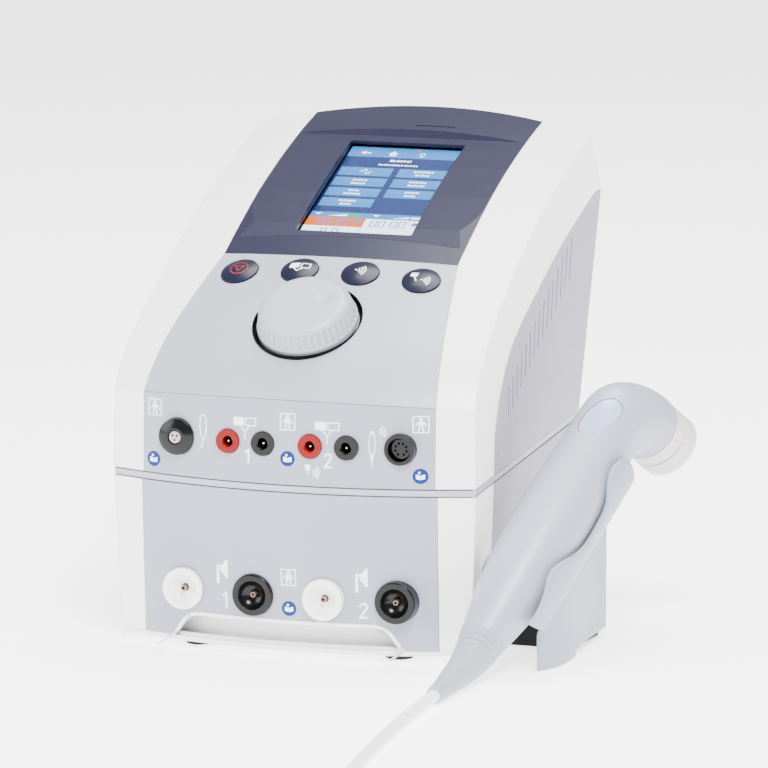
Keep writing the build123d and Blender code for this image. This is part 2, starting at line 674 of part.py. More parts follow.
# ---------------------------------------------------------------- vacuum system
NOZZLE_BACK = 34.0  # behind the mouth
MANIFOLD_Y = -78.0  # front of the manifold
barb_planes = []
for i, x in enumerate(NOZZLE_XS):
    mouth = socket_plane(x, NOZZLE_Z, NOZZLE_RADIUS, 3.0)
    back = 3.0 + wall_back(x, NOZZLE_Z, NOZZLE_RADIUS + 1.6)
    with BuildPart() as nozzle:
        disc(mouth, NOZZLE_RADIUS, -24, 0)
        disc(mouth, NOZZLE_RADIUS + 1.4, -24, -back)
        disc(mouth, 9.5, -7, 1, Mode.SUBTRACT)
        cone(mouth, 5.6, 9.5, -21, -6.99, Mode.SUBTRACT)
        disc(mouth, 3.02, -30, 0, Mode.SUBTRACT)
        round_edges = nozzle.edges().filter_by(GeomType.CIRCLE).sort_by(Axis.Y)[0:2]
        fillet([e for e in round_edges if e.radius > 12], 1.0)
    finish(nozzle, f"suction_nozzle_{i + 1}")
    barb_planes.append(mouth)

with BuildPart() as nozzle_tubes:
    for mouth in barb_planes:
        disc(mouth, 3.0, -NOZZLE_BACK, -9)
    for mouth in barb_planes:
        disc(mouth, 2.0, -NOZZLE_BACK - 1, -8, Mode.SUBTRACT)
finish(nozzle_tubes, "nozzle_tubes")

manifold_front = Plane(origin=(2.75, MANIFOLD_Y, NOZZLE_Z), x_dir=(1, 0, 0), z_dir=(0, -1, 0))
with BuildPart() as vacuum_manifold:
    slab(manifold_front, 170, 20, -22, 0, corner=2)
    for x in NOZZLE_XS:
        disc(moved(manifold_front, x - 2.75, 0), 3.0, -1, 9)
    disc(moved(manifold_front, -42.75, 0), 3.0, -31, -21)
    slab(manifold_front, 160, 9, -14, -5)
    with BuildSketch(Plane.YZ.offset(-76)):
        with Locations((MANIFOLD_Y + 11, NOZZLE_Z)):
            Circle(5)
    extrude(amount=157, mode=Mode.SUBTRACT)
    for x in NOZZLE_XS:
        disc(moved(manifold_front, x - 2.75, 0), 2.0, -10, 10, Mode.SUBTRACT)
    disc(moved(manifold_front, -42.75, 0), 2.0, -32, -12, Mode.SUBTRACT)
    with BuildSketch(Plane.XY.offset(BASE_LOW + 3)):
        with Locations((-70, MANIFOLD_Y + 11), (76, MANIFOLD_Y + 11)):
            Rectangle(12, 18)
    extrude(amount=NOZZLE_Z - 9 - BASE_LOW - 3)
finish(vacuum_manifold, "vacuum_manifold")

PUMP_FRONT = -22.0
with BuildPart() as suction_hoses:
    for x, mouth in zip(NOZZLE_XS, barb_planes):
        start, end = mouth.origin.Y + 24.5, MANIFOLD_Y - 0.5
        hose = Plane(origin=(x, start, NOZZLE_Z), x_dir=(1, 0, 0), z_dir=(0, 1, 0))
        disc(hose, 4.6, 0, end - start)
        disc(hose, 3.05, -1, end - start + 1, Mode.SUBTRACT)
    hose = Plane(origin=(-40, MANIFOLD_Y + 22.5, NOZZLE_Z), x_dir=(1, 0, 0), z_dir=(0, 1, 0))
    disc(hose, 4.6, 0, PUMP_FRONT - MANIFOLD_Y - 23)
    disc(hose, 3.05, -1, PUMP_FRONT - MANIFOLD_Y - 22, Mode.SUBTRACT)
finish(suction_hoses, "suction_hoses")

pump_face = Plane(origin=(-40, PUMP_FRONT, NOZZLE_Z), x_dir=(-1, 0, 0), z_dir=(0, 1, 0))
with BuildPart() as vacuum_pump:
    slab(pump_face, 58, 50, 0, 46, corner=6)
    disc(pump_face, 3.0, -9, 1)
    disc(pump_face, 2.0, -10, 12, Mode.SUBTRACT)
    with BuildSketch(Plane.XY.offset(BASE_LOW + 3)):
        with Locations((-40, 10)):
            with GridLocations(40, 30, 2, 2):
                Circle(6)
    extrude(amount=11)
finish(vacuum_pump, "vacuum_pump")

with BuildPart() as pump_motor:
    disc(pump_face, 21, 46.05, 96)
    disc(pump_face, 8, 95, 100)
    with BuildSketch(Plane.XY.offset(BASE_LOW + 3)):
        with Locations((-40, 50)):
            Rectangle(30, 16)
    extrude(amount=16)
finish(pump_motor, "pump_motor")

# ---------------------------------------------------------------- mains inlet and switch
inlet_plane = moved(rear_face, INLET_AT[0], INLET_AT[1])
with BuildPart() as mains_inlet:
    slab(inlet_plane, 50, 27, 0.1, 2.6, corner=4)
    slab(inlet_plane, 28.4, 21.4, -24, 1, corner=2)
    with BuildSketch(inlet_plane.offset(3)):
        with BuildLine():
            side = [(12.2, -8.2), (12.2, 4.0), (8.0, 8.2)]
            Polyline(*side, *[(-x, z) for x, z in reversed(side)], close=True)
        make_face()
    extrude(amount=-19, mode=Mode.SUBTRACT)
    for x in (-20, 20):
        disc(moved(inlet_plane, x, 0), 1.6, -1, 4, Mode.SUBTRACT)
    for x, z in ((-7, -2), (7, -2), (0, 3.2)):
        slab(moved(inlet_plane, x, z), 2, 4, -30, -4, Mode.SUBTRACT)
finish(mains_inlet, "mains_inlet")

with BuildPart() as inlet_pins:
    for x, z in ((-7, -2), (7, -2), (0, 3.2)):
        slab(moved(inlet_plane, x, z), 2, 4, -30, -4)
finish(inlet_pins, "inlet_pins")

switch_plane = moved(rear_face, SWITCH_AT[0], SWITCH_AT[1])
ROCK = 8.0
with BuildPart() as switch_frame:
    slab(switch_plane, 19, 28, 0.1, 2.1, corner=1)
    slab(switch_plane, 14.8, 22.8, -16, 1)
    slab(switch_plane, 12.4, 20.8, -14, 3, Mode.SUBTRACT)
    pivot = Plane(origin=switch_plane.origin, x_dir=switch_plane.y_dir, z_dir=switch_plane.x_dir)
    disc(pivot, 0.86, -7.0, 7.0, Mode.SUBTRACT)
finish(switch_frame, "switch_frame")

rocker_plane = switch_plane.rotated((-ROCK, 0, 0))
with BuildPart() as power_switch:
    across = Plane(origin=rocker_plane.origin, x_dir=rocker_plane.y_dir, z_dir=rocker_plane.x_dir)
    with BuildSketch(across.offset(-5.9)) as rocker_side:
        with BuildLine():
            Polyline((-9.6, -2.4), (-9.6, 3.4), (0, 1.9), (9.6, 3.4), (9.6, -2.4), (0, -7), close=True)
        make_face()
    extrude(rocker_side.sketch, amount=11.8)
    disc(pivot, 0.8, -6.8, 6.8)
finish(power_switch, "power_switch")

# ---------------------------------------------------------------- holder
handle_plane = Plane(origin=HANDLE_AT, x_dir=HANDLE_SIDE, z_dir=HANDLE_DIR)  # its y points down
side_plane = Plane(origin=HANDLE_AT, x_dir=HANDLE_DIR, z_dir=HANDLE_SIDE)  # x along, y out
TROUGH_RADIUS = 27.5
TROUGH_WALL = 3.5
TROUGH_LOW, TROUGH_HIGH = -87.0, 57.0
LIP = [(-72, 1), (-59, 4), (-47, 8), (-25, 0), (-8, -6), (5, -6), (21, -3), (30, 4), (39, 8)]

# the trough's lower end is cut so that its outer lip reaches furthest down the handle
END_NORMAL = HANDLE_DIR + HANDLE_SIDE * 0.435 + LIFT_DIR * 0.43
end_plane = Plane(origin=HANDLE_AT, x_dir=HANDLE_DIR.cross(END_NORMAL), z_dir=END_NORMAL)
with BuildPart() as trough:
    disc(handle_plane, TROUGH_RADIUS + TROUGH_WALL, TROUGH_LOW, TROUGH_HIGH)
    disc(handle_plane, TROUGH_RADIUS, TROUGH_LOW - 100, TROUGH_HIGH + 100, Mode.SUBTRACT)
    slab(end_plane, 200, 200, -140, -60.9, Mode.SUBTRACT)

with BuildPart() as holder_cradle:
    with BuildSketch(Plane.XY) as foot_line:
        with BuildLine():
            outer = [(167.2, -139.2), (172.6, -130.5), (176.6, -118), (178, -103), (177.6, -86)]
            Spline(*outer, (176.4, -60), (176, -15))
            Line((176, -15), (172.4, -15))
            inner = [(172.4, -15), (172.8, -60), (174.0, -86), (174.2, -102), (172.9, -117)]
            Spline(*inner, (169.3, -129), (165.4, -137.2))
            Line((165.4, -137.2), (167.2, -139.2))
        make_face()
    extrude(foot_line.sketch, amount=150)
    with BuildSketch(side_plane.offset(-70)) as outside:
        with BuildLine():
            Polyline((-220, -14), (TROUGH_HIGH, -14), (TROUGH_HIGH, -52), (140, -95), (260, -95))
            Polyline((260, -95), (260, 200), (-220, 200), (-220, -14))
        make_face()
    extrude(outside.sketch, amount=140, mode=Mode.SUBTRACT)
    disc(handle_plane, TROUGH_RADIUS, TROUGH_LOW - 100, TROUGH_HIGH + 100, Mode.SUBTRACT)
    add(trough.part)
    with BuildSketch(side_plane.offset(-70)) as opening:
        top = [(TROUGH_HIGH + 3, -3), (TROUGH_HIGH + 3, 80), (TROUGH_LOW - 3, 80), (TROUGH_LOW - 3, 5)]
        with BuildLine():
            Spline((TROUGH_LOW - 3, 5), *LIP, (TROUGH_HIGH + 3, -3))
            Polyline(*top)
        make_face()
    extrude(opening.sketch, amount=140, mode=Mode.SUBTRACT)
    with BuildSketch(side_plane.offset(-70)) as low_side:
        with BuildLine():
            Polyline((2, -9), (TROUGH_HIGH + 3, -9), (TROUGH_HIGH + 3, 80), (2, 80), close=True)
        make_face()
    extrude(low_side.sketch, amount=68, mode=Mode.SUBTRACT)
    with BuildSketch(Plane.XY.offset(-1)) as step:
        with Locations((172, 0)):
            Rectangle(40, 176)
    extrude(step.sketch, amount=5.5, mode=Mode.SUBTRACT)
    add(module_block(-1.5, 1, SEAM_Z), mode=Mode.SUBTRACT)
finish(holder_cradle, "holder_cradle")

with BuildPart() as holder_bracket:
    with BuildSketch(Plane.XY.offset(0.2)) as tongue:
        with BuildLine():
            Polyline((60, -68), (168.8, -68), (171.6, -20), (60, -20), close=True)
        make_face()
    extrude(tongue.sketch, amount=2.5)
    with BuildSketch(Plane.XY.offset(0.2)) as pillar:
        with BuildLine():
            Polyline((128, -68), (168.8, -68), (171.6, -20), (128, -20), close=True)
        make_face()
    extrude(pillar.sketch, amount=23)
    fillet(holder_bracket.edges().filter_by(Axis.Y).sort_by(Axis.Z)[-1], 2)
finish(holder_bracket, "holder_bracket")

# ---------------------------------------------------------------- applicator
HEAD_BASE = (102.4, -1.4)  # along the handle and out of the cradle, on the head's axis
SECTIONS = [  # along, out, half width, half height, turn of the section in degrees
    (-100, 0, 15.6, 15.4, 0),
    (-92, 0, 16.9, 16.6, 0),
    (-82, 0, 18.9, 18.4, 0),
    (-70, 0, 21.2, 20.4, 0),
    (-52, 0, 23.6, 23.0, 0),
    (-35, 0, 25, 24.5, 0),
    (-18, 0, 25.8, 25.5, 0),
    (0, 0, 26.1, 26, 0),
    (18, 0, 25.8, 25.7, 0),
    (35, 0, 25.1, 25, 0),
    (50, 0.4, 24.3, 24.1, 0),
    (65, 1, 23.5, 23.2, 0),
    (78, 1, 22.7, 23.9, 11),
    (88.5, -1, 22.1, 25, 26),
    (95.5, -5.8, 22, 24.8, 39),
    (101, -12, 22, 24, 52),
    (105.3, -17.8, 22, 22.9, 65),
    (108.2, -23.2, 22, 22.3, HEAD_TILT),
    (110.2, -30.7, 22, 22.1, HEAD_TILT),
]


def on_handle(along, out, turn=0.0):
    """A plane across the handle, its normal turned from the handle's line into the holder."""
    at = Vector(*HANDLE_AT) + HANDLE_DIR * along + LIFT_DIR * out
    normal = HANDLE_DIR * cos(radians(turn)) - LIFT_DIR * sin(radians(turn))
    return Plane(origin=at, x_dir=HANDLE_SIDE, z_dir=normal)


def handle_form(inset):
    """The handle and head as one smooth form, moved in by inset."""
    with BuildPart() as form:
        for along, out, wide, high, turn in SECTIONS:
            with BuildSketch(on_handle(along, out, turn)):
                Ellipse(wide - inset, high - inset)
        loft()
    return form.part


handle_outer = handle_form(0)
# the light window lies on the bend, turned towards the user and towards the head
WINDOW_ROUND = radians(19)
WINDOW_TURN = radians(22.3)
window_out = LIFT_DIR * cos(WINDOW_ROUND) + HANDLE_SIDE * sin(WINDOW_ROUND)
window_side = HANDLE_SIDE * cos(WINDOW_ROUND) - LIFT_DIR * sin(WINDOW_ROUND)
window_along = HANDLE_DIR * cos(WINDOW_TURN) + window_side * sin(WINDOW_TURN)
window_at = Vector(*HANDLE_AT) + HANDLE_DIR * 74 + window_out * 16
window_plane = Plane(origin=window_at, x_dir=window_along, z_dir=window_out)
with BuildPart() as window_zone:
    with BuildSketch(window_plane) as oval:
        Ellipse(17.2, 10.2)
    extrude(oval.sketch, amount=26)
with BuildPart() as window_core:
    with BuildSketch(window_plane) as oval:
        Ellipse(16.8, 9.8)
    extrude(oval.sketch, amount=26)

with BuildPart() as indicator_window:
    add(handle_form(0.5))
    add(window_core.part, mode=Mode.INTERSECT)
finish(indicator_window, "indicator_window")

HEAD_PLANE = on_handle(HEAD_BASE[0], HEAD_BASE[1], HEAD_TILT)
with BuildPart() as applicator_body:
    add(handle_outer)
    add(window_zone.part, mode=Mode.SUBTRACT)
    disc(HEAD_PLANE, 18.5, 20, 60, Mode.SUBTRACT)
    disc(handle_plane, 11, -96, 60, Mode.SUBTRACT)
finish(applicator_body, "applicator_body")

with BuildPart() as applicator_cap:
    disc(HEAD_PLANE, 22.0, 31.0, 55.5)
    disc(HEAD_PLANE, 18.4, 24, 40)
    disc(HEAD_PLANE, 16.5, 20, 63, Mode.SUBTRACT)
    disc(HEAD_PLANE, 19.6, 54.0, 56, Mode.SUBTRACT)
    disc(HEAD_PLANE, 23, 41.2, 42.4, Mode.SUBTRACT)
    disc(HEAD_PLANE, 21.2, 41.1, 42.5)
    disc(HEAD_PLANE, 16.5, 20, 63, Mode.SUBTRACT)
finish(applicator_cap, "applicator_cap")

with BuildPart() as treatment_face:
    disc(HEAD_PLANE, 19.5, 54.02, 57.5)
    disc(HEAD_PLANE, 16.4, 46, 54.1)
    disc(HEAD_PLANE, 15.0, 45, 54.5, Mode.SUBTRACT)
    rims = [e for e in treatment_face.edges().filter_by(GeomType.CIRCLE) if abs(e.radius - 19.5) < 0.01]
    fillet(max(rims, key=lambda e: HEAD_PLANE.to_local_coords(e.center()).Z), 0.8)
finish(treatment_face, "treatment_face")

with BuildPart() as transducer:
    disc(HEAD_PLANE, 12.6, 51.9, 54.48)
finish(transducer, "transducer")

# the boot runs on from the handle's end and bends down to the table
BOOT = [  # centre, half diameter
    ((137.70, -162.80, 23.90), 15.3),
    ((135.60, -173.00, 16.90), 12.9),
    ((134.50, -186.00, 12.30), 10.9),
    ((133.70, -201.00, 9.60), 9.3),
    ((133.40, -216.00, 8.10), 7.7),
    ((133.40, -232.00, 6.60), 6.3),
    ((133.50, -248.00, 5.70), 5.3),
]
BOOT_RINGS = 9
with BuildPart() as strain_relief:
    for i, (centre, radius) in enumerate(BOOT):
        back = Vector(*BOOT[max(i - 1, 0)][0])
        on = Vector(*BOOT[min(i + 1, len(BOOT) - 1)][0])
        along = HANDLE_DIR * -1 if i == 0 else (on - back).normalized()
        if i == len(BOOT) - 1:
            along = (Vector(*CABLE_ROUTE[1]) - Vector(*CABLE_ROUTE[0])).normalized()
        with BuildSketch(Plane(origin=centre, x_dir=(1, 0, 0), z_dir=along)):
            Circle(radius - 0.9)
    loft()
    for i in range(BOOT_RINGS):
        t = (i + 0.45) / BOOT_RINGS * (len(BOOT) - 1)
        k = int(t)
        a, b = Vector(*BOOT[k][0]), Vector(*BOOT[k + 1][0])
        at = a + (b - a) * (t - k)
        size = BOOT[k][1] + (BOOT[k + 1][1] - BOOT[k][1]) * (t - k)
        disc(Plane(origin=at, x_dir=(1, 0, 0), z_dir=b - a), size, -1.7, 1.7)
finish(strain_relief, "strain_relief")

# ---------------------------------------------------------------- cord
def corner_radii(points):
    """The largest tangent arc that each corner's two runs allow."""
    radii = []
    for back, here, on in zip(points, points[1:], points[2:]):
        first, last = Vector(*here) - Vector(*back), Vector(*on) - Vector(*here)
        turn = radians(first.get_angle(last))
        radii.append(0.45 * min(first.length, last.length) / tan(turn / 2))
    return radii


cable_radii = corner_radii(CABLE_ROUTE)
print("applicator_cable radii", [round(r, 1) for r in cable_radii])
with BuildPart() as applicator_cable:
    with BuildLine() as cable_line:
        FilletPolyline(*CABLE_ROUTE, radius=cable_radii)
    start = Vector(*CABLE_ROUTE[1]) - Vector(*CABLE_ROUTE[0])
    with BuildSketch(Plane(origin=CABLE_ROUTE[0], z_dir=start)):
        Circle(CABLE_RADIUS)
    sweep(path=cable_line.wires()[0])
print("cable length", round(cable_line.wires()[0].length, 1))
print("cable volume over section", round(applicator_cable.part.volume / (pi * CABLE_RADIUS**2), 1))
finish(applicator_cable, "applicator_cable")

last_run = (Vector(*CABLE_ROUTE[-1]) - Vector(*CABLE_ROUTE[-2])).normalized()
with BuildPart() as cable_coil:
    with BuildSketch(Plane.XY.offset(0.2)):
        with Locations(COIL_CENTRE):
            Circle(COIL_RADIUS + COIL_HALF)
            Circle(COIL_RADIUS - COIL_HALF, mode=Mode.SUBTRACT)
    extrude(amount=COIL_HEIGHT)
    disc(Plane(origin=CABLE_ROUTE[-1], z_dir=last_run), CABLE_RADIUS, 0, 40)
    tail = Plane(origin=(COIL_CENTRE[0], COIL_CENTRE[1] - COIL_RADIUS, 8.6), z_dir=(-1, 0, 0))
    disc(tail, CABLE_RADIUS, 6, 52)
finish(cable_coil, "cable_coil")

plug_plane = tail.offset(52)
with BuildPart() as cable_plug:
    cone(plug_plane, 4.6, 7.5, 0, 14)
    disc(plug_plane, 8.4, 13.9, 40)
    disc(plug_plane, 7.3, 39.9, 50)
    disc(plug_plane, 6.7, 42, 51, Mode.SUBTRACT)
    disc(plug_plane, 5.4, 41.9, 44)
    for i in range(8):
        turn = 30 + 300 * i / 7
        disc(moved(plug_plane, 3.9 * sin(radians(turn)), 3.9 * cos(radians(turn))), 0.5, 43, 49)
finish(cable_plug, "cable_plug")

for name, plane in zip(BUTTON_NAMES, button_planes):
    print(name, [round(v, 3) for v in plane.origin], [round(v, 5) for v in plane.z_dir])
print("knob", [round(v, 3) for v in knob_plane.origin], [round(v, 5) for v in knob_plane.z_dir])
print("switch", [round(v, 3) for v in switch_plane.origin], [round(v, 5) for v in rocker_plane.x_dir])
for name, (x, radius) in SOCKETS.items():
    print(name, [round(v, 3) for v in socket_plane(x, SOCKET_Z, radius, 1.0).origin])
for mouth in barb_planes:
    print("nozzle", [round(v, 3) for v in mouth.origin])
print("inlet", [round(v, 3) for v in inlet_plane.origin], [round(v, 5) for v in inlet_plane.z_dir])
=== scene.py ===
import json
from math import cos, hypot, pi, radians, sin

import bmesh
import bpy
from mathutils import Matrix, Vector
from mathutils.bvhtree import BVHTree


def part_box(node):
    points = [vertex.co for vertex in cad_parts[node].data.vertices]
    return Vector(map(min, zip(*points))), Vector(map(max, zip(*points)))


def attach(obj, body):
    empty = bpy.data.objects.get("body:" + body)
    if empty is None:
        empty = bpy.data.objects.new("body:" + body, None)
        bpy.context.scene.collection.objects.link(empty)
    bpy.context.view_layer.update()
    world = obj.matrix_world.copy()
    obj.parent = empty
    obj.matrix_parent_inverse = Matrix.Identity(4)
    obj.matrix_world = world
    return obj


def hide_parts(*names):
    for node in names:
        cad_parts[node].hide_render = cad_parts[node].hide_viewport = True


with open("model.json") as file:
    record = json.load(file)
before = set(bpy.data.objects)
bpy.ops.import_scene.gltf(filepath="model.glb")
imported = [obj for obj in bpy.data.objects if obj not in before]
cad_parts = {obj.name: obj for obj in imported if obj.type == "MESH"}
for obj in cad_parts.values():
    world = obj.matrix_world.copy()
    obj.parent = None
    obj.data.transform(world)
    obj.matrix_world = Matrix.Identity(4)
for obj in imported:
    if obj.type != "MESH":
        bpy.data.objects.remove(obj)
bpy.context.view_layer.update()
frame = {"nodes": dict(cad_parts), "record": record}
MM = 0.001


def mm(x, y, z):
    """A point of the row frame given in millimetres."""
    return Vector((x, y, z)) * MM


# ------------------------------------------------------------------ camera
AIM = mm(11.2, 11.9, 153.6)
TO_CAMERA = Vector((0.3207, -0.9314, 0.1719)).normalized()
CAMERA_DISTANCE = 3.88
CAMERA_LENS = 271.9
camera_data = bpy.data.cameras.new("camera")
camera = bpy.data.objects.new("camera", camera_data)
bpy.context.scene.collection.objects.link(camera)
camera.location = AIM + TO_CAMERA * CAMERA_DISTANCE
camera.rotation_euler = (-TO_CAMERA).to_track_quat("-Z", "Y").to_euler()
camera_data.lens = CAMERA_LENS
camera_data.sensor_width = 36.0
camera_data.clip_end = 100.0
bpy.context.scene.camera = camera


# ------------------------------------------------------------------ materials
MOTTLE_SCALE = 22.0
GLOSS_SCALE = 90.0
GLOSS_SPREAD = 0.05
GRAIN_HEIGHT = 0.0002


def plastic(name, colour, rough=0.45, grain=0.0, grain_size=0.4, mottle=0.015, coat=0.0,
            soft_edge=0.0, metal=0.0, shine=0.5):
    """A moulded plastic: slight mottling, a fine grain in the surface and softened edges.

    grain is the strength of the surface grain, grain_size its size in millimetres, mottle the
    share by which the colour varies, and soft_edge the radius of the edges in millimetres.
    """
    material = bpy.data.materials.new(name)
    material.use_nodes = True
    nodes, links = material.node_tree.nodes, material.node_tree.links
    shader = nodes["Principled BSDF"]
    shader.inputs["Metallic"].default_value = metal
    shader.inputs["Specular IOR Level"].default_value = shine
    if coat:
        shader.inputs["Coat Weight"].default_value = coat
        shader.inputs["Coat Roughness"].default_value = 0.12
    place = nodes.new("ShaderNodeTexCoord")
    cloud = nodes.new("ShaderNodeTexNoise")
    cloud.inputs["Scale"].default_value = MOTTLE_SCALE
    cloud.inputs["Detail"].default_value = 4.0
    links.new(place.outputs["Object"], cloud.inputs["Vector"])
    ramp = nodes.new("ShaderNodeMapRange")
    ramp.inputs["From Min"].default_value = 0.3
    ramp.inputs["From Max"].default_value = 0.7
    ramp.inputs["To Min"].default_value = 1.0 - mottle
    ramp.inputs["To Max"].default_value = 1.0 + mottle
    links.new(cloud.outputs["Fac"], ramp.inputs["Value"])
    tint = nodes.new("ShaderNodeMix")
    tint.data_type = "RGBA"
    tint.blend_type = "MULTIPLY"
    tint.inputs["Factor"].default_value = 1.0
    tint.inputs["A"].default_value = (*colour, 1.0)
    links.new(ramp.outputs["Result"], tint.inputs["B"])
    links.new(tint.outputs["Result"], shader.inputs["Base Color"])
    gloss = nodes.new("ShaderNodeTexNoise")
    gloss.inputs["Scale"].default_value = GLOSS_SCALE
    links.new(place.outputs["Object"], gloss.inputs["Vector"])
    spread = nodes.new("ShaderNodeMapRange")
    spread.inputs["To Min"].default_value = max(0.03, rough - GLOSS_SPREAD)
    spread.inputs["To Max"].default_value = min(1.0, rough + GLOSS_SPREAD)
    links.new(gloss.outputs["Fac"], spread.inputs["Value"])
    links.new(spread.outputs["Result"], shader.inputs["Roughness"])
    normal = None
    if soft_edge:
        bevel = nodes.new("ShaderNodeBevel")
        bevel.samples = 6
        bevel.inputs["Radius"].default_value = soft_edge * MM
        normal = bevel.outputs["Normal"]
    if grain:
        fine = nodes.new("ShaderNodeTexNoise")
        fine.inputs["Scale"].default_value = 1000.0 / grain_size
        fine.inputs["Detail"].default_value = 2.0
        links.new(place.outputs["Object"], fine.inputs["Vector"])
        bump = nodes.new("ShaderNodeBump")
        bump.inputs["Strength"].default_value = grain
        bump.inputs["Distance"].default_value = GRAIN_HEIGHT
        links.new(fine.outputs["Fac"], bump.inputs["Height"])
        if normal:
            links.new(normal, bump.inputs["Normal"])
        normal = bump.outputs["Normal"]
    if normal:
        links.new(normal, shader.inputs["Normal"])
    return material


def lit(name, colour, glow):
    """A display colour that gives off its own light."""
    material = plastic(name, colour, rough=0.25, mottle=0.01)
    links = material.node_tree.links
    shader = material.node_tree.nodes["Principled BSDF"]
    source = shader.inputs["Base Color"].links[0].from_socket
    links.new(source, shader.inputs["Emission Color"])
    shader.inputs["Emission Strength"].default_value = glow
    return material


WHITE = plastic("housing_white", (0.93, 0.91, 0.895), 0.34, 0.05, 0.5, 0.008, soft_edge=1.6)
SIDE = plastic("side_grey", (0.245, 0.235, 0.305), 0.5, 0.22, 0.35, 0.02, soft_edge=0.9)
DECK = plastic("deck_grey", (0.34, 0.35, 0.405), 0.38, 0.12, 0.25, 0.012, soft_edge=0.7)
STRIP = plastic("strip_grey", (0.285, 0.3, 0.36), 0.4, 0.12, 0.25, 0.012, soft_edge=0.6)
MODULE = plastic("module_grey", (0.29, 0.305, 0.37), 0.4, 0.12, 0.25, 0.012, soft_edge=0.8)
BEZEL = plastic("bezel_slate", (0.0125, 0.0125, 0.031), 0.36, 0.1, 0.3, 0.03, soft_edge=0.9, shine=0.22)
BUTTON = plastic("button_navy", (0.006, 0.007, 0.021), 0.3, 0.05, 0.3, 0.02, soft_edge=0.5, shine=0.25)
KNOB = plastic("knob_grey", (0.36, 0.375, 0.42), 0.36, 0.08, 0.3, 0.012, soft_edge=0.35)
RED = plastic("socket_red", (0.17, 0.0009, 0.0022), 0.24, mottle=0.03, soft_edge=0.5, shine=0.2)
BLACK = plastic("black_gloss", (0.003, 0.003, 0.0035), 0.2, mottle=0.05, soft_edge=0.5, shine=0.25)
BLACK_MATT = plastic("black_matt", (0.006, 0.006, 0.007), 0.62, 0.3, 0.4, 0.05, soft_edge=0.4, shine=0.15)
SOCKET_WHITE = plastic("nozzle_white", (0.93, 0.93, 0.92), 0.26, mottle=0.01, soft_edge=0.6)
HOLDER = plastic("holder_grey", (0.275, 0.31, 0.375), 0.42, 0.1, 0.3, 0.015, soft_edge=1.4)
APPLICATOR = plastic("applicator_grey", (0.335, 0.35, 0.43), 0.36, 0.08, 0.3, 0.012, soft_edge=0.5)
CAP = plastic("cap_white", (0.62, 0.57, 0.585), 0.28, mottle=0.01, soft_edge=1.0)
WINDOW = plastic("window_blue", (0.36, 0.45, 0.66), 0.18, mottle=0.01, coat=0.4, soft_edge=0.4)
BOOT = plastic("boot_grey", (0.31, 0.325, 0.385), 0.55, 0.15, 0.3, 0.02, soft_edge=0.3)
CABLE = plastic("cable_white", (0.9, 0.9, 0.89), 0.48, 0.12, 0.6, 0.012)
GASKET = plastic("seam_grey", (0.36, 0.365, 0.42), 0.45, 0.1, 0.3, 0.015, soft_edge=0.5)
RIM = plastic("rim_white", (0.86, 0.845, 0.83), 0.42, 0.08, 0.4, 0.012, soft_edge=0.7)
STEEL = plastic("machined_steel", (0.55, 0.54, 0.53), 0.25, mottle=0.05, metal=1.0, soft_edge=0.2)
FACE_METAL = plastic("face_aluminium", (0.78, 0.78, 0.79), 0.2, 0.05, 0.1, 0.02, metal=1.0)
BOARD = plastic("board_green", (0.02, 0.16, 0.07), 0.4, 0.2, 1.0, 0.1)
RUBBER = plastic("foot_rubber", (0.018, 0.018, 0.018), 0.8, 0.4, 0.5, 0.05, shine=0.15)
HOSE = plastic("hose_clear", (0.6, 0.62, 0.62), 0.3, mottle=0.03)
LINE = plastic("line_dark", (0.045, 0.045, 0.06), 0.6, mottle=0.02, shine=0.2)
# painted shade: a near-black material laid in gaps and holes where shade falls
PAINTED_SHADE = plastic("painted_shade_black", (0.004, 0.004, 0.005), 0.8, mottle=0.05, shine=0.05)
BRASS = plastic("tube_brass", (0.30, 0.19, 0.14), 0.35, mottle=0.06, metal=0.7, soft_edge=0.1)
INSERT_PINK = plastic("insert_pink", (0.42, 0.3, 0.32), 0.35, mottle=0.02, soft_edge=0.2)
PRINT = plastic("print_white", (0.93, 0.94, 0.95), 0.5, mottle=0.01)
PRINT_RED = plastic("print_red", (0.22, 0.012, 0.015), 0.5, mottle=0.02, shine=0.2)
SIGN = plastic("sign_blue", (0.0022, 0.022, 0.14), 0.4, mottle=0.02, shine=0.2)
SCREEN_LIGHT = lit("screen_light_blue", (0.02, 0.12, 0.33), 0.75)
SCREEN_KEY = lit("screen_key_blue", (0.025, 0.13, 0.34), 0.75)
SCREEN_NAVY = lit("screen_navy", (0.0012, 0.014, 0.085), 0.75)
SCREEN_WHITE = lit("screen_white", (0.6, 0.68, 0.78), 0.9)
SCREEN_ORANGE = lit("screen_orange", (0.42, 0.075, 0.003), 0.85)
SCREEN_GREEN = lit("screen_green", (0.015, 0.22, 0.07), 0.8)
SCREEN_BLACK = lit("screen_edge", (0.01, 0.01, 0.012), 0.0)

GLASS_SHEEN = 0.16
glass = bpy.data.materials.new("screen_glass")
glass.use_nodes = True
tree = glass.node_tree
tree.nodes.remove(tree.nodes["Principled BSDF"])
clear = tree.nodes.new("ShaderNodeBsdfTransparent")
reflection = tree.nodes.new("ShaderNodeBsdfGlossy")
reflection.inputs["Roughness"].default_value = 0.04
facing = tree.nodes.new("ShaderNodeLayerWeight")
facing.inputs["Blend"].default_value = 0.2
soften = tree.nodes.new("ShaderNodeMath")
soften.operation = "MULTIPLY"
soften.inputs[1].default_value = GLASS_SHEEN
tree.links.new(facing.outputs["Facing"], soften.inputs[0])
blend = tree.nodes.new("ShaderNodeMixShader")
tree.links.new(soften.outputs["Value"], blend.inputs["Fac"])
tree.links.new(clear.outputs["BSDF"], blend.inputs[1])
tree.links.new(reflection.outputs["BSDF"], blend.inputs[2])
tree.links.new(blend.outputs["Shader"], tree.nodes["Material Output"].inputs["Surface"])

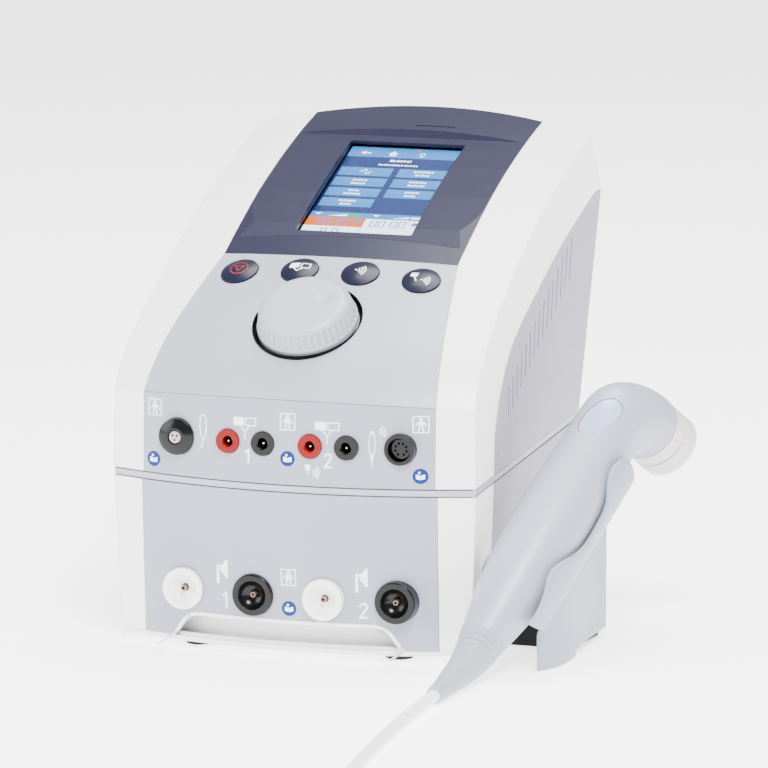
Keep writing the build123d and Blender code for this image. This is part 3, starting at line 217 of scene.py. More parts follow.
CAD_LOOKS = {
    "console_frame": WHITE, "module_cheek_left": WHITE, "module_cheek_right": WHITE,
    "rear_shell": SIDE, "module_shell": SIDE, "control_deck": DECK, "connector_strip": STRIP,
    "module_front_panel": MODULE, "module_base": RIM, "grip_recess": RIM, "seam_gasket": GASKET,
    "display_bezel": BEZEL, "display_glass": glass, "display_module": SCREEN_BLACK,
    "encoder_body": STEEL, "encoder_shaft": STEEL, "stop_button": BUTTON, "pads_button": BUTTON,
    "waves_button": BUTTON, "combined_button": BUTTON, "button_board": BOARD, "knob": KNOB,
    "console_base": BLACK_MATT, "main_board": BOARD, "power_supply": BOARD,
    "sensor_socket": BLACK, "applicator_socket": BLACK, "stim_socket_1a": RED,
    "stim_socket_1b": BLACK, "stim_socket_2a": RED, "stim_socket_2b": BLACK,
    "rubber_feet": RUBBER, "case_screws": STEEL, "suction_nozzle_1": SOCKET_WHITE,
    "suction_nozzle_2": BLACK, "suction_nozzle_3": SOCKET_WHITE, "suction_nozzle_4": BLACK,
    "nozzle_tubes": STEEL, "vacuum_manifold": BLACK_MATT, "suction_hoses": HOSE,
    "vacuum_pump": BLACK_MATT, "pump_motor": STEEL, "mains_inlet": BLACK_MATT,
    "inlet_pins": STEEL, "switch_frame": BLACK_MATT, "power_switch": BLACK,
    "holder_cradle": HOLDER, "holder_bracket": BLACK_MATT, "applicator_body": APPLICATOR,
    "applicator_cap": CAP, "treatment_face": FACE_METAL, "transducer": STEEL,
    "indicator_window": WINDOW, "strain_relief": BOOT, "applicator_cable": CABLE,
    "cable_coil": CABLE, "cable_plug": BLACK_MATT,
}
for name, look in CAD_LOOKS.items():
    node = frame["nodes"][name]
    node.data.materials.clear()
    node.data.materials.append(look)


# ------------------------------------------------------------------ mesh helpers
def body_of(node):
    """The CAD body that a node rides on."""
    for body, members in frame["record"]["behaviour"]["bodies"].items():
        if node in members:
            return body
    raise ValueError(node)


def piece(name, mesh, material, body, smooth=False):
    """A finished mesh as a piece that rides on a CAD body."""
    mesh.materials.append(material)
    if smooth:
        mesh.shade_smooth()
    made = bpy.data.objects.new(name, mesh)
    bpy.context.scene.collection.objects.link(made)
    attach(made, body)
    return made


def grid_mesh(name, rows, capped=False):
    """A mesh skinned over rows of points of equal count, each row closed on itself."""
    bm = bmesh.new()
    made = [[bm.verts.new(p) for p in row] for row in rows]
    count = len(rows[0])
    for a, b in zip(made, made[1:]):
        for i in range(count):
            j = (i + 1) % count
            bm.faces.new((a[i], a[j], b[j], b[i]))
    if capped:
        bm.faces.new(list(reversed(made[0])))
        bm.faces.new(made[-1])
    bmesh.ops.recalc_face_normals(bm, faces=bm.faces)
    mesh = bpy.data.meshes.new(name)
    bm.to_mesh(mesh)
    bm.free()
    return mesh


# ------------------------------------------------------------------ cord
CABLE_RADIUS = 4.0
BOOT_TIP = (133.5, -248.0, 5.7)
ROUTE = [
    BOOT_TIP, (133.8, -290.0, 4.5), (137.5, -350.0, 4.3), (145.5, -425.0, 4.3),
    (156.0, -500.0, 4.3), (163.0, -560.0, 4.3),
]
TAIL = [(96.0, -647.5, 9.6), (78.0, -647.0, 8.7), (60.0, -647.0, 8.6)]
COIL_X, COIL_Y = 112.0, -602.0
COIL_TURNS = [  # radius and height at each full turn, from the outside in and back out
    (52.6, 4.3), (44.4, 4.3), (37.2, 4.4), (38.0, 11.0), (46.5, 11.0), (49.5, 10.6), (47.0, 10.0),
]
STEPS_PER_TURN = 10
COIL_STEPS = 52


def coil_points():
    """The control points of the coiled stretch, clockwise from the side where it enters."""
    points = []
    for k in range(1, COIL_STEPS + 1):
        turns = k / STEPS_PER_TURN
        whole = int(turns)
        part = turns - whole
        (r0, z0), (r1, z1) = COIL_TURNS[whole], COIL_TURNS[whole + 1]
        r = r0 + (r1 - r0) * part
        z = z0 + (z1 - z0) * part
        angle = -2 * pi * turns
        points.append((COIL_X + r * cos(angle), COIL_Y + r * sin(angle), z))
    return points


cable_curve = bpy.data.curves.new("applicator_cord", "CURVE")
cable_curve.dimensions = "3D"
cable_curve.bevel_depth = CABLE_RADIUS * MM
cable_curve.bevel_resolution = 6
cable_curve.resolution_u = 14
cable_curve.use_fill_caps = True
route = ROUTE + coil_points() + TAIL
spline = cable_curve.splines.new("NURBS")
spline.points.add(len(route) - 1)
for point, at in zip(spline.points, route):
    point.co = (*mm(*at), 1.0)
spline.order_u = 3
spline.use_endpoint_u = True
cable_curve.materials.append(CABLE)
cord = bpy.data.objects.new("applicator_cord", cable_curve)
bpy.context.scene.collection.objects.link(cord)
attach(cord, "applicator")
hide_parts("applicator_cable", "cable_coil")
bpy.context.view_layer.update()


# ------------------------------------------------------------------ sculpted pieces
def turned(name, profile, origin, axis, material, body, segments=72, wobble=None,
           closed=True):
    """A piece turned about an axis from (radius, height) points, with an optional change of radius."""
    axis = Vector(axis).normalized()
    across = axis.orthogonal().normalized()
    if abs(axis.x) < 0.5:
        across = Vector((1, 0, 0)) - axis * axis.x
        across.normalize()
    up = axis.cross(across)
    rows = []
    for radius, height in profile:
        row = []
        for k in range(segments):
            turn = 2 * pi * k / segments
            r = radius + (wobble(radius, height, turn) if wobble else 0.0)
            offset = across * r * cos(turn) + up * r * sin(turn) + axis * height
            row.append(Vector(origin) + offset * MM)
        rows.append(row)
    mesh = grid_mesh(name, rows, capped=closed)
    return piece(name, mesh, material, body, smooth=True)


def crisp(made, angle=32):
    """Shades faces flat across edges sharper than the angle."""
    made.data.set_sharp_from_angle(angle=radians(angle))
    return made


def mount(name):
    """A mount's mouth in the row frame and its outward axis."""
    found = next(m for m in frame["record"]["mounts"] if m["name"] == name)
    axis = Vector(found["axis"]).normalized()
    return Vector(found["pos_m"]) + axis * found["dims"]["length_mm"] / 2 * MM, axis


# knob: a fluted skirt under a broad chamfer, with a finger dimple in its top
KNOB_JOINT = next(j for j in frame["record"]["behaviour"]["joints"] if j["name"] == "knob_turn")
KNOB_AXIS = Vector(KNOB_JOINT["axis"]).normalized()
KNOB_FOOT = Vector(KNOB_JOINT["pos_m"])
KNOB_TOP = 14.5
FLUTES = 42
FLUTE_DEPTH = 1.15
FLUTE_LOW, FLUTE_HIGH = 0.6, 10.6
DIMPLE_X, DIMPLE_UP = 13.0, 6.3
DIMPLE_RADIUS = 8.0
DIMPLE_DEPTH = 1.5


def flute(radius, height, turn):
    """How far the flutes draw in the skirt at a height and angle."""
    if not FLUTE_LOW < height < FLUTE_HIGH:
        return 0.0
    wave = 0.5 - 0.5 * cos(turn * FLUTES)
    return -FLUTE_DEPTH * wave ** 2.0


skirt = [(31.0, -3.9), (32.9, -3.9), (33.3, -3.5), (33.3, 0.2), (33.0, 0.6), (32.9, 0.9)]
skirt += [(32.9 - 0.255 * k, 0.9 + 0.98 * k) for k in range(1, 10)]
chamfer = [(30.4, 10.4), (30.3, 10.8), (29.7, 11.7), (28.4, 12.9), (27.0, 13.8), (26.0, 14.2), (24.8, 14.4)]
crown = [(22.5, KNOB_TOP)] + [(20.0 - 1.25 * k, KNOB_TOP + 0.012 * k) for k in range(16)]
knob_piece = turned(
    "knob_turned", skirt + chamfer + crown, KNOB_FOOT, KNOB_AXIS, KNOB, "knob",
    FLUTES * 8, flute,
)
KNOB_UP = KNOB_AXIS.cross(Vector((1, 0, 0)))
dimple = KNOB_FOOT + (Vector((DIMPLE_X, 0, 0)) + KNOB_UP * DIMPLE_UP + KNOB_AXIS * KNOB_TOP) * MM
for vert in knob_piece.data.vertices:
    flat = vert.co - dimple
    height = flat.dot(KNOB_AXIS)
    away = (flat - KNOB_AXIS * height).length / MM
    if height > -0.4 * MM and away < DIMPLE_RADIUS:
        sink = DIMPLE_DEPTH * (0.5 + 0.5 * cos(pi * away / DIMPLE_RADIUS))
        vert.co -= KNOB_AXIS * sink * MM
crisp(knob_piece, 40)
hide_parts("knob")
# painted shade: a near-black ring set in the gap between knob and well, standing in for the deep shade
# there
well_shade_form = [
    (33.6, -4.7), (36.3, -4.7), (36.42, -4.4), (36.42, -0.25), (36.3, -0.2), (36.2, -4.2), (33.7, -4.4),
]
well_shade = turned(
    "knob_well_shade", well_shade_form, KNOB_FOOT, KNOB_AXIS, PAINTED_SHADE, "console", 120, closed=False,
)
crisp(well_shade)

# nozzles: a rounded rim running into a funnel, with a metal tube in the middle and a near-black ring of
# painted shade round the tube at the funnel's foot
nozzle_form = [
    (13.4, -7.0), (13.7, -3.4), (13.5, -1.9), (12.8, -0.8), (11.9, -0.2), (11.0, -0.02), (10.2, -0.25),
    (9.5, -0.9), (8.9, -1.9), (8.1, -3.1), (7.0, -4.3), (5.7, -5.3), (4.2, -6.0), (3.0, -6.3), (2.5, -6.5),
    (2.4, -7.5),
]
tube_form = [(1.75, -8.5), (1.75, -2.6), (1.6, -2.4), (1.2, -2.4), (1.05, -2.6), (1.05, -8.5)]
shade_form = [(2.35, -7.6), (1.8, -7.6)]
for k in range(4):
    mouth, axis = mount(f"suction_nozzle_{k + 1}")
    pale = k % 2 == 0
    look, slot_name = (SOCKET_WHITE, "socket_white") if pale else (BLACK, "black_plastic")
    for form_name, form, material, slot, segments in (
        ("cone", nozzle_form, look, slot_name, 96),
        ("tip", tube_form, BRASS, "metal", 32),
        ("shade", shade_form, PAINTED_SHADE, "black_plastic", 32),
    ):
        name = f"nozzle_{form_name}_{k + 1}"
        turned(name, form, mouth, axis, material, "console", segments, closed=False)

# lead sockets: a small pin in each
pin_form = [(0.95, -9.0), (0.95, -1.9), (0.8, -1.55), (0.45, -1.35), (0.1, -1.3)]
for name in ("1a", "1b", "2a", "2b"):
    mouth, axis = mount(f"stim_socket_{name}")
    turned(f"lead_pin_{name}", pin_form, mouth, axis, STEEL, "console", 24)

# probe socket: a pale three-way insert in the dome
mouth, axis = mount("sensor_socket")
insert_form = [(3.9, -4.0), (4.0, -0.9), (3.7, -0.5), (3.2, -0.35), (1.6, -0.2), (0.2, -0.18)]
crisp(turned("probe_insert", insert_form, mouth, axis, INSERT_PINK, "console", 48))
# painted shade: three flat near-black discs on the insert stand in for the shade inside its contact holes
hole_form = [(0.75, -0.4), (0.75, -0.14), (0.6, -0.12), (0.1, -0.12)]
for k, (dx, dz) in enumerate(((-1.5, 1.1), (1.5, 1.1), (0.0, -1.7))):
    place = mouth + mm(dx, 0, dz)
    turned(f"probe_hole_shade_{k + 1}", hole_form, place, axis, PAINTED_SHADE, "console", 20)

# boot: stepped ribs round a line that bends down to the table
BOOT_LINE = [
    (137.70, -162.80, 23.90), (135.60, -173.00, 16.90), (134.50, -186.00, 12.30), (133.70, -201.00, 9.60),
    (133.40, -216.00, 8.10), (133.40, -232.00, 6.60), (133.50, -248.00, 5.70),
]
BOOT_SIZE = (15.5, 13.1, 11.1, 9.3, 7.7, 6.3, 5.3)
RIBS = 13
STEPS_PER_RIB = 12
BOOT_SIDES = 56
GROOVE_SHARE = 0.42  # of each rib's length
GROOVED_FROM, GROOVED_TO = 0.06, 0.975
TIP_FROM = 0.985
LOOK_AHEAD = 0.02


def boot_point(t):
    """Centre and radius along the boot, t from 0 to 1, on a smooth line through its points."""
    x = min(max(t, 0.0), 1.0) * (len(BOOT_LINE) - 1)
    k = min(int(x), len(BOOT_LINE) - 2)
    f = x - k
    near = [min(max(j, 0), len(BOOT_LINE) - 1) for j in (k - 1, k, k + 1, k + 2)]
    a, b, c, d = [Vector(BOOT_LINE[j]) for j in near]
    slope, bend, twist = c - a, 2 * a - 5 * b + 4 * c - d, 3 * b - a - 3 * c + d
    at = 0.5 * ((2 * b) + slope * f + bend * f * f + twist * f ** 3)
    return at, BOOT_SIZE[k] + (BOOT_SIZE[k + 1] - BOOT_SIZE[k]) * f


def boot_radius(t, size):
    """The radius at t, with a groove at the start of each rib and a rounded tip."""
    phase = (t * RIBS) % 1.0
    if GROOVED_FROM < t < GROOVED_TO and phase < GROOVE_SHARE:
        groove = 0.95 * max(0.0, sin(pi * phase / GROOVE_SHARE)) ** 0.8
        size = size - groove * (0.45 + 0.04 * size)
    if t > TIP_FROM:
        size -= 0.6 * (t - TIP_FROM) / (1.0 - TIP_FROM)
    return size


boot_rows = []
for j in range(RIBS * STEPS_PER_RIB + 1):
    t = j / (RIBS * STEPS_PER_RIB)
    at, size = boot_point(t)
    size = boot_radius(t, size)
    along = (boot_point(t + LOOK_AHEAD)[0] - boot_point(t - LOOK_AHEAD)[0]).normalized()
    across = (Vector((1, 0, 0)) - along * along.x).normalized()
    up = along.cross(across)
    row = []
    for k in range(BOOT_SIDES):
        turn = 2 * pi * k / BOOT_SIDES
        row.append((at + across * size * cos(turn) + up * size * sin(turn)) * MM)
    boot_rows.append(row)
boot_mesh = grid_mesh("ribbed_boot", boot_rows, capped=True)
boot = crisp(piece("ribbed_boot", boot_mesh, BOOT, "applicator", smooth=True), 60)
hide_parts("strain_relief")


# holder: the cradle with its edges and hollows rounded, as moulded in one piece
def rounded(name, node, voxel, passes, material, body):
    """A CAD solid with every edge and inner corner softened."""
    source = bpy.data.objects.new(name + "_source", frame["nodes"][node].data.copy())
    bpy.context.scene.collection.objects.link(source)
    remesh = source.modifiers.new("remesh", "REMESH")
    remesh.mode = "VOXEL"
    remesh.voxel_size = voxel * MM
    soften = source.modifiers.new("soften", "SMOOTH")
    soften.factor = 0.5
    soften.iterations = passes
    bpy.context.view_layer.update()
    mesh = bpy.data.meshes.new_from_object(
        source.evaluated_get(bpy.context.evaluated_depsgraph_get())
    )
    bpy.data.objects.remove(source)
    mesh.materials.clear()
    return piece(name, mesh, material, body, smooth=True)


CRADLE_VOXEL = 0.9
CRADLE_PASSES = 14
cradle = rounded(
    "cradle_moulding", "holder_cradle", CRADLE_VOXEL, CRADLE_PASSES, HOLDER, "console",
)
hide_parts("holder_cradle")


def girdle(name, node, low, high, lift, material, count=360):
    """A thin line all round a CAD node's outside, between two heights, in millimetres."""
    sides = surface(node)
    lo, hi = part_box(node)
    middle = (lo + hi) / 2
    rows = [[], []]
    for k in range(count):
        turn = 2 * pi * k / count
        out = Vector((cos(turn), 1.35 * sin(turn), 0)).normalized()
        for row, height in zip(rows, (low, high)):
            start = Vector((middle.x, middle.y, (low + high) / 2 * MM)) + out * 0.4
            hit, _, _, _ = sides.ray_cast(start, -out)
            row.append(Vector((hit.x, hit.y, height * MM)) + out * lift * MM)
    return piece(name, grid_mesh(name, rows), material, "console")


# ------------------------------------------------------------------ stage
FLOOR_HALF = 14
FLOOR_GLOW = 2.2
WORLD_STRENGTH = 0.62
floor_mesh = bpy.data.meshes.new("floor")
floor_corners = [(x * FLOOR_HALF, y * FLOOR_HALF, 0) for x, y in ((-1, -1), (1, -1), (1, 1), (-1, 1))]
floor_mesh.from_pydata(floor_corners, [], [(0, 1, 2, 3)])
floor = bpy.data.objects.new("floor", floor_mesh)
bpy.context.scene.collection.objects.link(floor)
paper = plastic("floor_paper", (0.97, 0.97, 0.97), 0.9, mottle=0.003)
paper_shader = paper.node_tree.nodes["Principled BSDF"]
paper_shader.inputs["Emission Color"].default_value = (1.0, 1.0, 1.0, 1.0)
paper_shader.inputs["Emission Strength"].default_value = FLOOR_GLOW
floor_mesh.materials.append(paper)

world = bpy.data.worlds.new("studio")
bpy.context.scene.world = world
world.use_nodes = True
sky = world.node_tree.nodes["Background"]
sky.inputs["Color"].default_value = (0.93, 0.95, 1.0, 1.0)
sky.inputs["Strength"].default_value = WORLD_STRENGTH


def area_light(name, at, towards, size, power, tint=(1.0, 1.0, 1.0)):
    """A soft square light."""
    data = bpy.data.lights.new(name, "AREA")
    data.size = size
    data.energy = power
    data.color = tint
    light = bpy.data.objects.new(name, data)
    bpy.context.scene.collection.objects.link(light)
    light.location = Vector(at)
    light.rotation_euler = (Vector(towards) - Vector(at)).to_track_quat("-Z", "Y").to_euler()


area_light("key", (1.1, -1.9, 2.7), (0.0, 0.0, 0.15), 1.1, 235.0, (1.0, 0.99, 0.97))
area_light("fill", (-2.4, -2.0, 1.2), (0.05, 0.0, 0.15), 2.0, 95.0, (0.96, 0.98, 1.0))
area_light("top", (0.2, 0.6, 2.8), (0.0, 0.0, 0.2), 1.8, 150.0)


# ------------------------------------------------------------------ printed marks
def surface(*names):
    """The faces of CAD nodes, to lay marks on."""
    bm = bmesh.new()
    for name in names:
        bm.from_mesh(frame["nodes"][name].data)
    tree_made = BVHTree.FromBMesh(bm)
    bm.free()
    return tree_made


def ring(radius, inner=0.0, at=(0, 0), start=0.0, end=2 * pi, steps=40):
    """Strips of a disc, ring or arc."""
    out = []
    for k in range(steps):
        a, b = start + (end - start) * k / steps, start + (end - start) * (k + 1) / steps
        corners = [(radius * cos(a), radius * sin(a)), (radius * cos(b), radius * sin(b))]
        if inner:
            corners += [(inner * cos(b), inner * sin(b)), (inner * cos(a), inner * sin(a))]
        else:
            corners.append((0.0, 0.0))
        out.append([(at[0] + x, at[1] + y) for x, y in corners])
    return out


def box(x0, y0, x1, y1):
    """A filled rectangle."""
    return [[(x0, y0), (x1, y0), (x1, y1), (x0, y1)]]


def frame_box(x0, y0, x1, y1, w):
    """The outline of a rectangle, w wide."""
    return (
        box(x0, y0, x1, y0 + w) + box(x0, y1 - w, x1, y1)
        + box(x0, y0 + w, x0 + w, y1 - w) + box(x1 - w, y0 + w, x1, y1 - w)
    )


def stroke(points, w):
    """A line of width w through points, with round joints."""
    out = []
    for (x0, y0), (x1, y1) in zip(points, points[1:]):
        size = hypot(x1 - x0, y1 - y0)
        nx, ny = -(y1 - y0) / size * w / 2, (x1 - x0) / size * w / 2
        out.append([(x0 - nx, y0 - ny), (x1 - nx, y1 - ny), (x1 + nx, y1 + ny), (x0 + nx, y0 + ny)])
    for x, y in points:
        out += ring(w / 2, at=(x, y), steps=8)
    return out


def shifted(shapes, dx, dy, scale=1.0):
    """Shapes scaled about the origin and then moved."""
    return [[(x * scale + dx, y * scale + dy) for x, y in shape] for shape in shapes]


def bisected(bm, step):
    """Cuts the flat shapes into cells no wider than step, so that they follow a curved surface."""
    spans = [[vert.co[axis] for vert in bm.verts] for axis in (0, 1)]
    for axis, values in enumerate(spans):
        low, high = min(values), max(values)
        count = int((high - low) / step)
        for k in range(1, count + 1):
            at = Vector((0.0, 0.0, 0.0))
            at[axis] = low + (high - low) * k / (count + 1)
            way = Vector((0.0, 0.0, 0.0))
            way[axis] = 1.0
            everything = bm.verts[:] + bm.edges[:] + bm.faces[:]
            bmesh.ops.bisect_plane(bm, geom=everything, plane_co=at, plane_no=way)


RAY_START = 0.03  # metres in front of the surface that a mark is laid on


def marks(name, shapes, origin, across, up, material, target=None, body="console", lift=0.05,
          step=2.0):
    """Flat shapes as a thin printed layer, laid on the target's surface along their normal."""
    across, up = Vector(across).normalized(), Vector(up).normalized()
    normal = across.cross(up).normalized()
    bm = bmesh.new()
    for shape in shapes:
        corners = [bm.verts.new((x, y, 0.0)) for x, y in shape]
        try:
            bm.faces.new(corners)
        except ValueError:
            pass
    bmesh.ops.remove_doubles(bm, verts=bm.verts, dist=0.004)
    if target:
        bisected(bm, step)
    for vert in bm.verts:
        at = Vector(origin) + (across * vert.co.x + up * vert.co.y) * MM
        if target:
            hit, hit_normal, _, _ = target.ray_cast(at + normal * RAY_START, -normal)
            if hit:
                at = hit
        vert.co = at + normal * lift * MM
    for face in bm.faces:
        face.normal_update()
        if face.normal.dot(normal) < 0:
            face.normal_flip()
    mesh = bpy.data.meshes.new(name)
    bm.to_mesh(mesh)
    bm.free()
    return piece(name, mesh, material, body)


def patient():
    """A plain standing figure in a square."""
    shapes = frame_box(-5.2, -5.6, 5.2, 5.6, 0.7)
    shapes += ring(1.15, at=(0, 3.3), steps=18)
    shapes += [[(-1.9, 1.9), (1.9, 1.9), (1.35, -0.6), (-1.35, -0.6)]]
    shapes += stroke([(-1.6, 1.6), (-3.2, -0.9)], 0.8) + stroke([(1.6, 1.6), (3.2, -0.9)], 0.8)
    return shapes + stroke([(-0.75, -0.5), (-1.5, -4.2)], 1.0) + stroke([(0.75, -0.5), (1.5, -4.2)], 1.0)


def book():
    """An open leaflet with a raised page, for the round signs."""
    left = [[(-3.3, -1.5), (-0.2, -2.3), (-0.2, 1.1), (-3.3, 1.9)]]
    right = [[(0.2, -2.3), (3.3, -1.5), (3.3, 1.9), (0.2, 1.1)]]
    return left + right + ring(0.95, at=(-0.9, 3.1), steps=14)


def pads():
    """Two electrode pads on a forked lead."""
    shapes = box(-9.6, -2.4, -2.2, 3.0) + frame_box(-1.4, -2.4, 6.4, 3.0, 0.7)
    shapes += stroke([(-4.6, -2.6), (-1.6, -6.0), (1.4, -2.6)], 0.7)
    return shapes + stroke([(-1.6, -6.0), (-1.6, -11.0)], 0.7)


def pad_and_waves():
    """A pad on its lead with waves beside it."""
    shapes = box(-4.2, -0.6, -0.6, 3.0) + stroke([(-2.2, -0.6), (-2.2, -3.6)], 0.6)
    for r in (2.3, 3.9, 5.5):
        shapes += ring(r + 0.4, r - 0.4, (-0.4, -2.2), -0.75, 0.75, 12)
    return shapes


def waves(scale=1.0):
    """A dot that sends out three waves."""
    shapes = ring(0.9, steps=12, at=(-3.2, 0))
    for r in (3.0, 5.4, 7.8):
        shapes += ring(r + 0.55, r - 0.55, (-3.2, 0), -0.8, 0.8, 14)
    return shifted(shapes, 0, 0, scale)


def wand():
    """A slim probe, upright, with its lead."""
    body_line = [(-2.2, 8.6), (-2.6, 2.0), (-1.2, -5.2), (1.2, -5.2), (2.6, 2.0), (2.2, 8.6)]
    shapes = stroke(body_line, 0.7) + ring(2.55, 1.85, (0, 8.4), 0.0, pi, 16)
    return shapes + stroke([(0, -5.4), (-0.3, -9.0), (-1.6, -12.0)], 0.7)


def sound_head():
    """An applicator, upright, with waves beside its head."""
    shapes = stroke([(-1.6, 6.5), (-1.9, -2.0), (-0.9, -7.2)], 0.5)
    shapes += stroke([(1.6, 6.5), (1.9, -2.0), (0.9, -7.2)], 0.5)
    shapes += [[(-1.1, -6.4), (1.1, -6.4), (0.5, -10.6), (-0.5, -10.6)]]
    shapes += stroke([(0, -10.6), (0, -14.8)], 0.5) + box(-1.1, 6.6, 1.3, 8.6)
    for r in (3.0, 4.6, 6.2):
        shapes += ring(r + 0.3, r - 0.3, (2.2, 7.6), -0.45, 0.85, 10)
    return shapes


def cup():
    """A suction cup on its stem."""
    shapes = [[(1.0, -3.2), (3.4, -4.6), (3.4, 8.4), (1.0, 7.0)]]
    shapes += [[(-1.6, 3.6), (1.1, 6.2), (1.1, -2.4), (-1.6, 0.2)]]
    return shapes + box(-4.6, 2.6, -1.5, 4.2) + box(-4.6, -8.0, -2.8, 3.0)


DIGITS = {
    "0": [[(-1, -2), (-1, 2), (1, 2), (1, -2), (-1, -2)]],
    "1": [[(-0.7, 1.2), (0.3, 2), (0.3, -2)]],
    "2": [[(-1, 1.3), (-0.5, 2), (0.6, 2), (1, 1.3), (0.9, 0.6), (-1, -2), (1.05, -2)]],
    ":": [[(0, 0.75), (0, 0.85)], [(0, -0.85), (0, -0.75)]],
    ".": [[(0, -1.95), (0, -1.85)]],
}


def digits(text, height, weight, gap=1.5):
    """Plain numerals built from strokes."""
    shapes, x = [], 0.0
    for sign in text:
        narrow = sign in ":."
        for run in DIGITS[sign]:
            run_mm = [((px + x) * height / 4, py * height / 4) for px, py in run]
            shapes += stroke(run_mm, weight)
        x += gap if narrow else 2 * gap
    middle = (x - 2 * gap) * height / 8
    return shifted(shapes, -middle, 0)


SEAM_LOW, SEAM_HIGH = [corner.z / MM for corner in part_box("seam_gasket")]
SEAM_LIFT = 0.12
girdle("seam_line_upper", "seam_gasket", SEAM_HIGH - 0.9, SEAM_HIGH - 0.02, SEAM_LIFT, LINE)
girdle("seam_line_lower", "seam_gasket", SEAM_LOW + 0.02, SEAM_LOW + 0.7, SEAM_LIFT, LINE)
RIGHT, UP = (1, 0, 0), (0, 0, 1)
FRONT_Y = -175
SIDE_X = 150
SIGN_RADIUS = 5.0
OVER_SIGN = 0.1
strip = surface("connector_strip")
panel = surface("module_front_panel")


def front_mark(name, shapes, x, z, material=PRINT, target=strip, lift=0.05):
    """A mark on the front, x and z in millimetres."""
    return marks(name, shapes, mm(x, FRONT_Y, z), RIGHT, UP, material, target, lift=lift)


def sign(prefix, suffix, x, z, target=strip):
    """A round blue sign with an open leaflet."""
    front_mark(f"{prefix}sign_disc{suffix}", ring(SIGN_RADIUS, steps=48), x, z, SIGN, target)
    leaflet = shifted(book(), 0, -0.4, 0.86)
    front_mark(f"{prefix}sign_leaflet{suffix}", leaflet, x, z, PRINT, target, OVER_SIGN)


for k, (x, z) in enumerate(((-91, 159), (5, 157), (91, 158))):
    front_mark(f"type_mark_{k + 1}", patient(), x, z)
for k, (x, z) in enumerate(((-92, 125), (5, 133), (91, 124.5))):
    sign("", f"_{k + 1}", x, z)
for k, x in enumerate((-23, 33)):
    front_mark(f"pads_mark_{k + 1}", pads(), x, 155)
front_mark("numeral_1", digits("1", 8.4, 1.3), -22.5, 133)
front_mark("numeral_2", digits("2", 8.4, 1.2), 32, 133)
front_mark("combined_mark", pad_and_waves(), 21, 127)
front_mark("sound_head_mark", sound_head(), 60.5, 144.5)
front_mark("probe_mark", shifted(wand(), 0, 0, 0.95), -54.6, 147)
for k, x in enumerate((-42, 53)):
    front_mark(f"cup_mark_{k + 1}", cup(), x + 0.6, 55, PRINT, panel)
front_mark("module_numeral_1", digits("1", 9.2, 1.3), -40, 36.5, PRINT, panel)
front_mark("module_numeral_2", digits("2", 9.2, 1.3), 54, 35, PRINT, panel)
front_mark("module_type_mark", patient(), 4.6, 54.6, PRINT, panel)
sign("module_", "", 4.6, 34, panel)

# the white rim round the finger arch, and two small pins in the right side
ARCH_LINE = [(-79.5, 9.2), (-77.5, 11.0), (-70.4, 20.6), (-67.0, 23.4), (-60.8, 24.9), (60.8, 24.9)]
ARCH_LINE += [(67.0, 23.4), (70.4, 20.6), (77.5, 11.0), (79.5, 9.2)]
marks(
    "arch_rim", stroke(ARCH_LINE, 2.4), mm(0, FRONT_Y, 0), RIGHT, UP, RIM, panel,
    lift=0.35, step=3.0,
)
for k, (y, z) in enumerate(((-76, 128), (-80, 104))):
    side = surface("rear_shell" if z > SEAM_HIGH else "module_shell")
    marks(f"side_pin_{k + 1}", ring(0.9, steps=16), mm(SIDE_X, y, z), (0, 1, 0), UP, LINE, side)

# glyphs on the buttons
JOINT_AXIS = {j["child"]: Vector(j["axis"]).normalized() for j in frame["record"]["behaviour"]["joints"]}
stop_shape = ring(6.4, 5.5) + stroke([(-3.2, 1.9), (3.2, 1.9), (0, -3.4), (-3.2, 1.9)], 0.9)
pads_shape = box(-7.0, -1.0, -0.2, 4.6) + frame_box(0.9, -1.4, 7.4, 4.4, 0.8)
pads_shape += stroke([(-3.6, -1.4), (-0.6, -4.2), (2.4, -1.6)], 0.8)
combined_shape = box(-7.4, 0.2, -2.6, 4.6) + stroke([(-4.6, 0.2), (-2.2, -4.2)], 0.8)
combined_shape += shifted(waves(0.7), 3.4, -2.4)
button_marks = {
    "stop_button": (stop_shape, PRINT_RED),
    "pads_button": (pads_shape, PRINT),
    "waves_button": (waves(0.82), PRINT),
    "combined_button": (combined_shape, PRINT),
}
for name, (shapes, look) in button_marks.items():
    low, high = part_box(name)
    normal = -JOINT_AXIS[name]
    across = Vector((1, 0, 0)) - normal * normal.x
    up = normal.cross(across)
    top = (low + high) / 2 + normal * 0.01
    marks(f"{name}_glyph", shapes, top, across, up, look, surface(name), body_of(name), 0.04, 1.5)

# ------------------------------------------------------------------ display page
SCREEN_MID = mm(0, 39.5, 280.0)
SCREEN_TILT = radians(21.9)
SCREEN_NORMAL = Vector((0, -sin(SCREEN_TILT), cos(SCREEN_TILT)))
SCREEN_UP = Vector((0, cos(SCREEN_TILT), sin(SCREEN_TILT)))
SCREEN_DEPTH = 1.84
ON_GROUND, ON_BAR, ON_FRAME, ON_TOP = 6, 8, 9, 10


def page(name, shapes, material, lift):
    """Shapes on the display, lift in hundredths of a millimetre above its surface."""
    at = SCREEN_MID + SCREEN_NORMAL * (-SCREEN_DEPTH + lift * 0.01) * MM
    return marks(name, shapes, at, RIGHT, SCREEN_UP, material, lift=0.0)


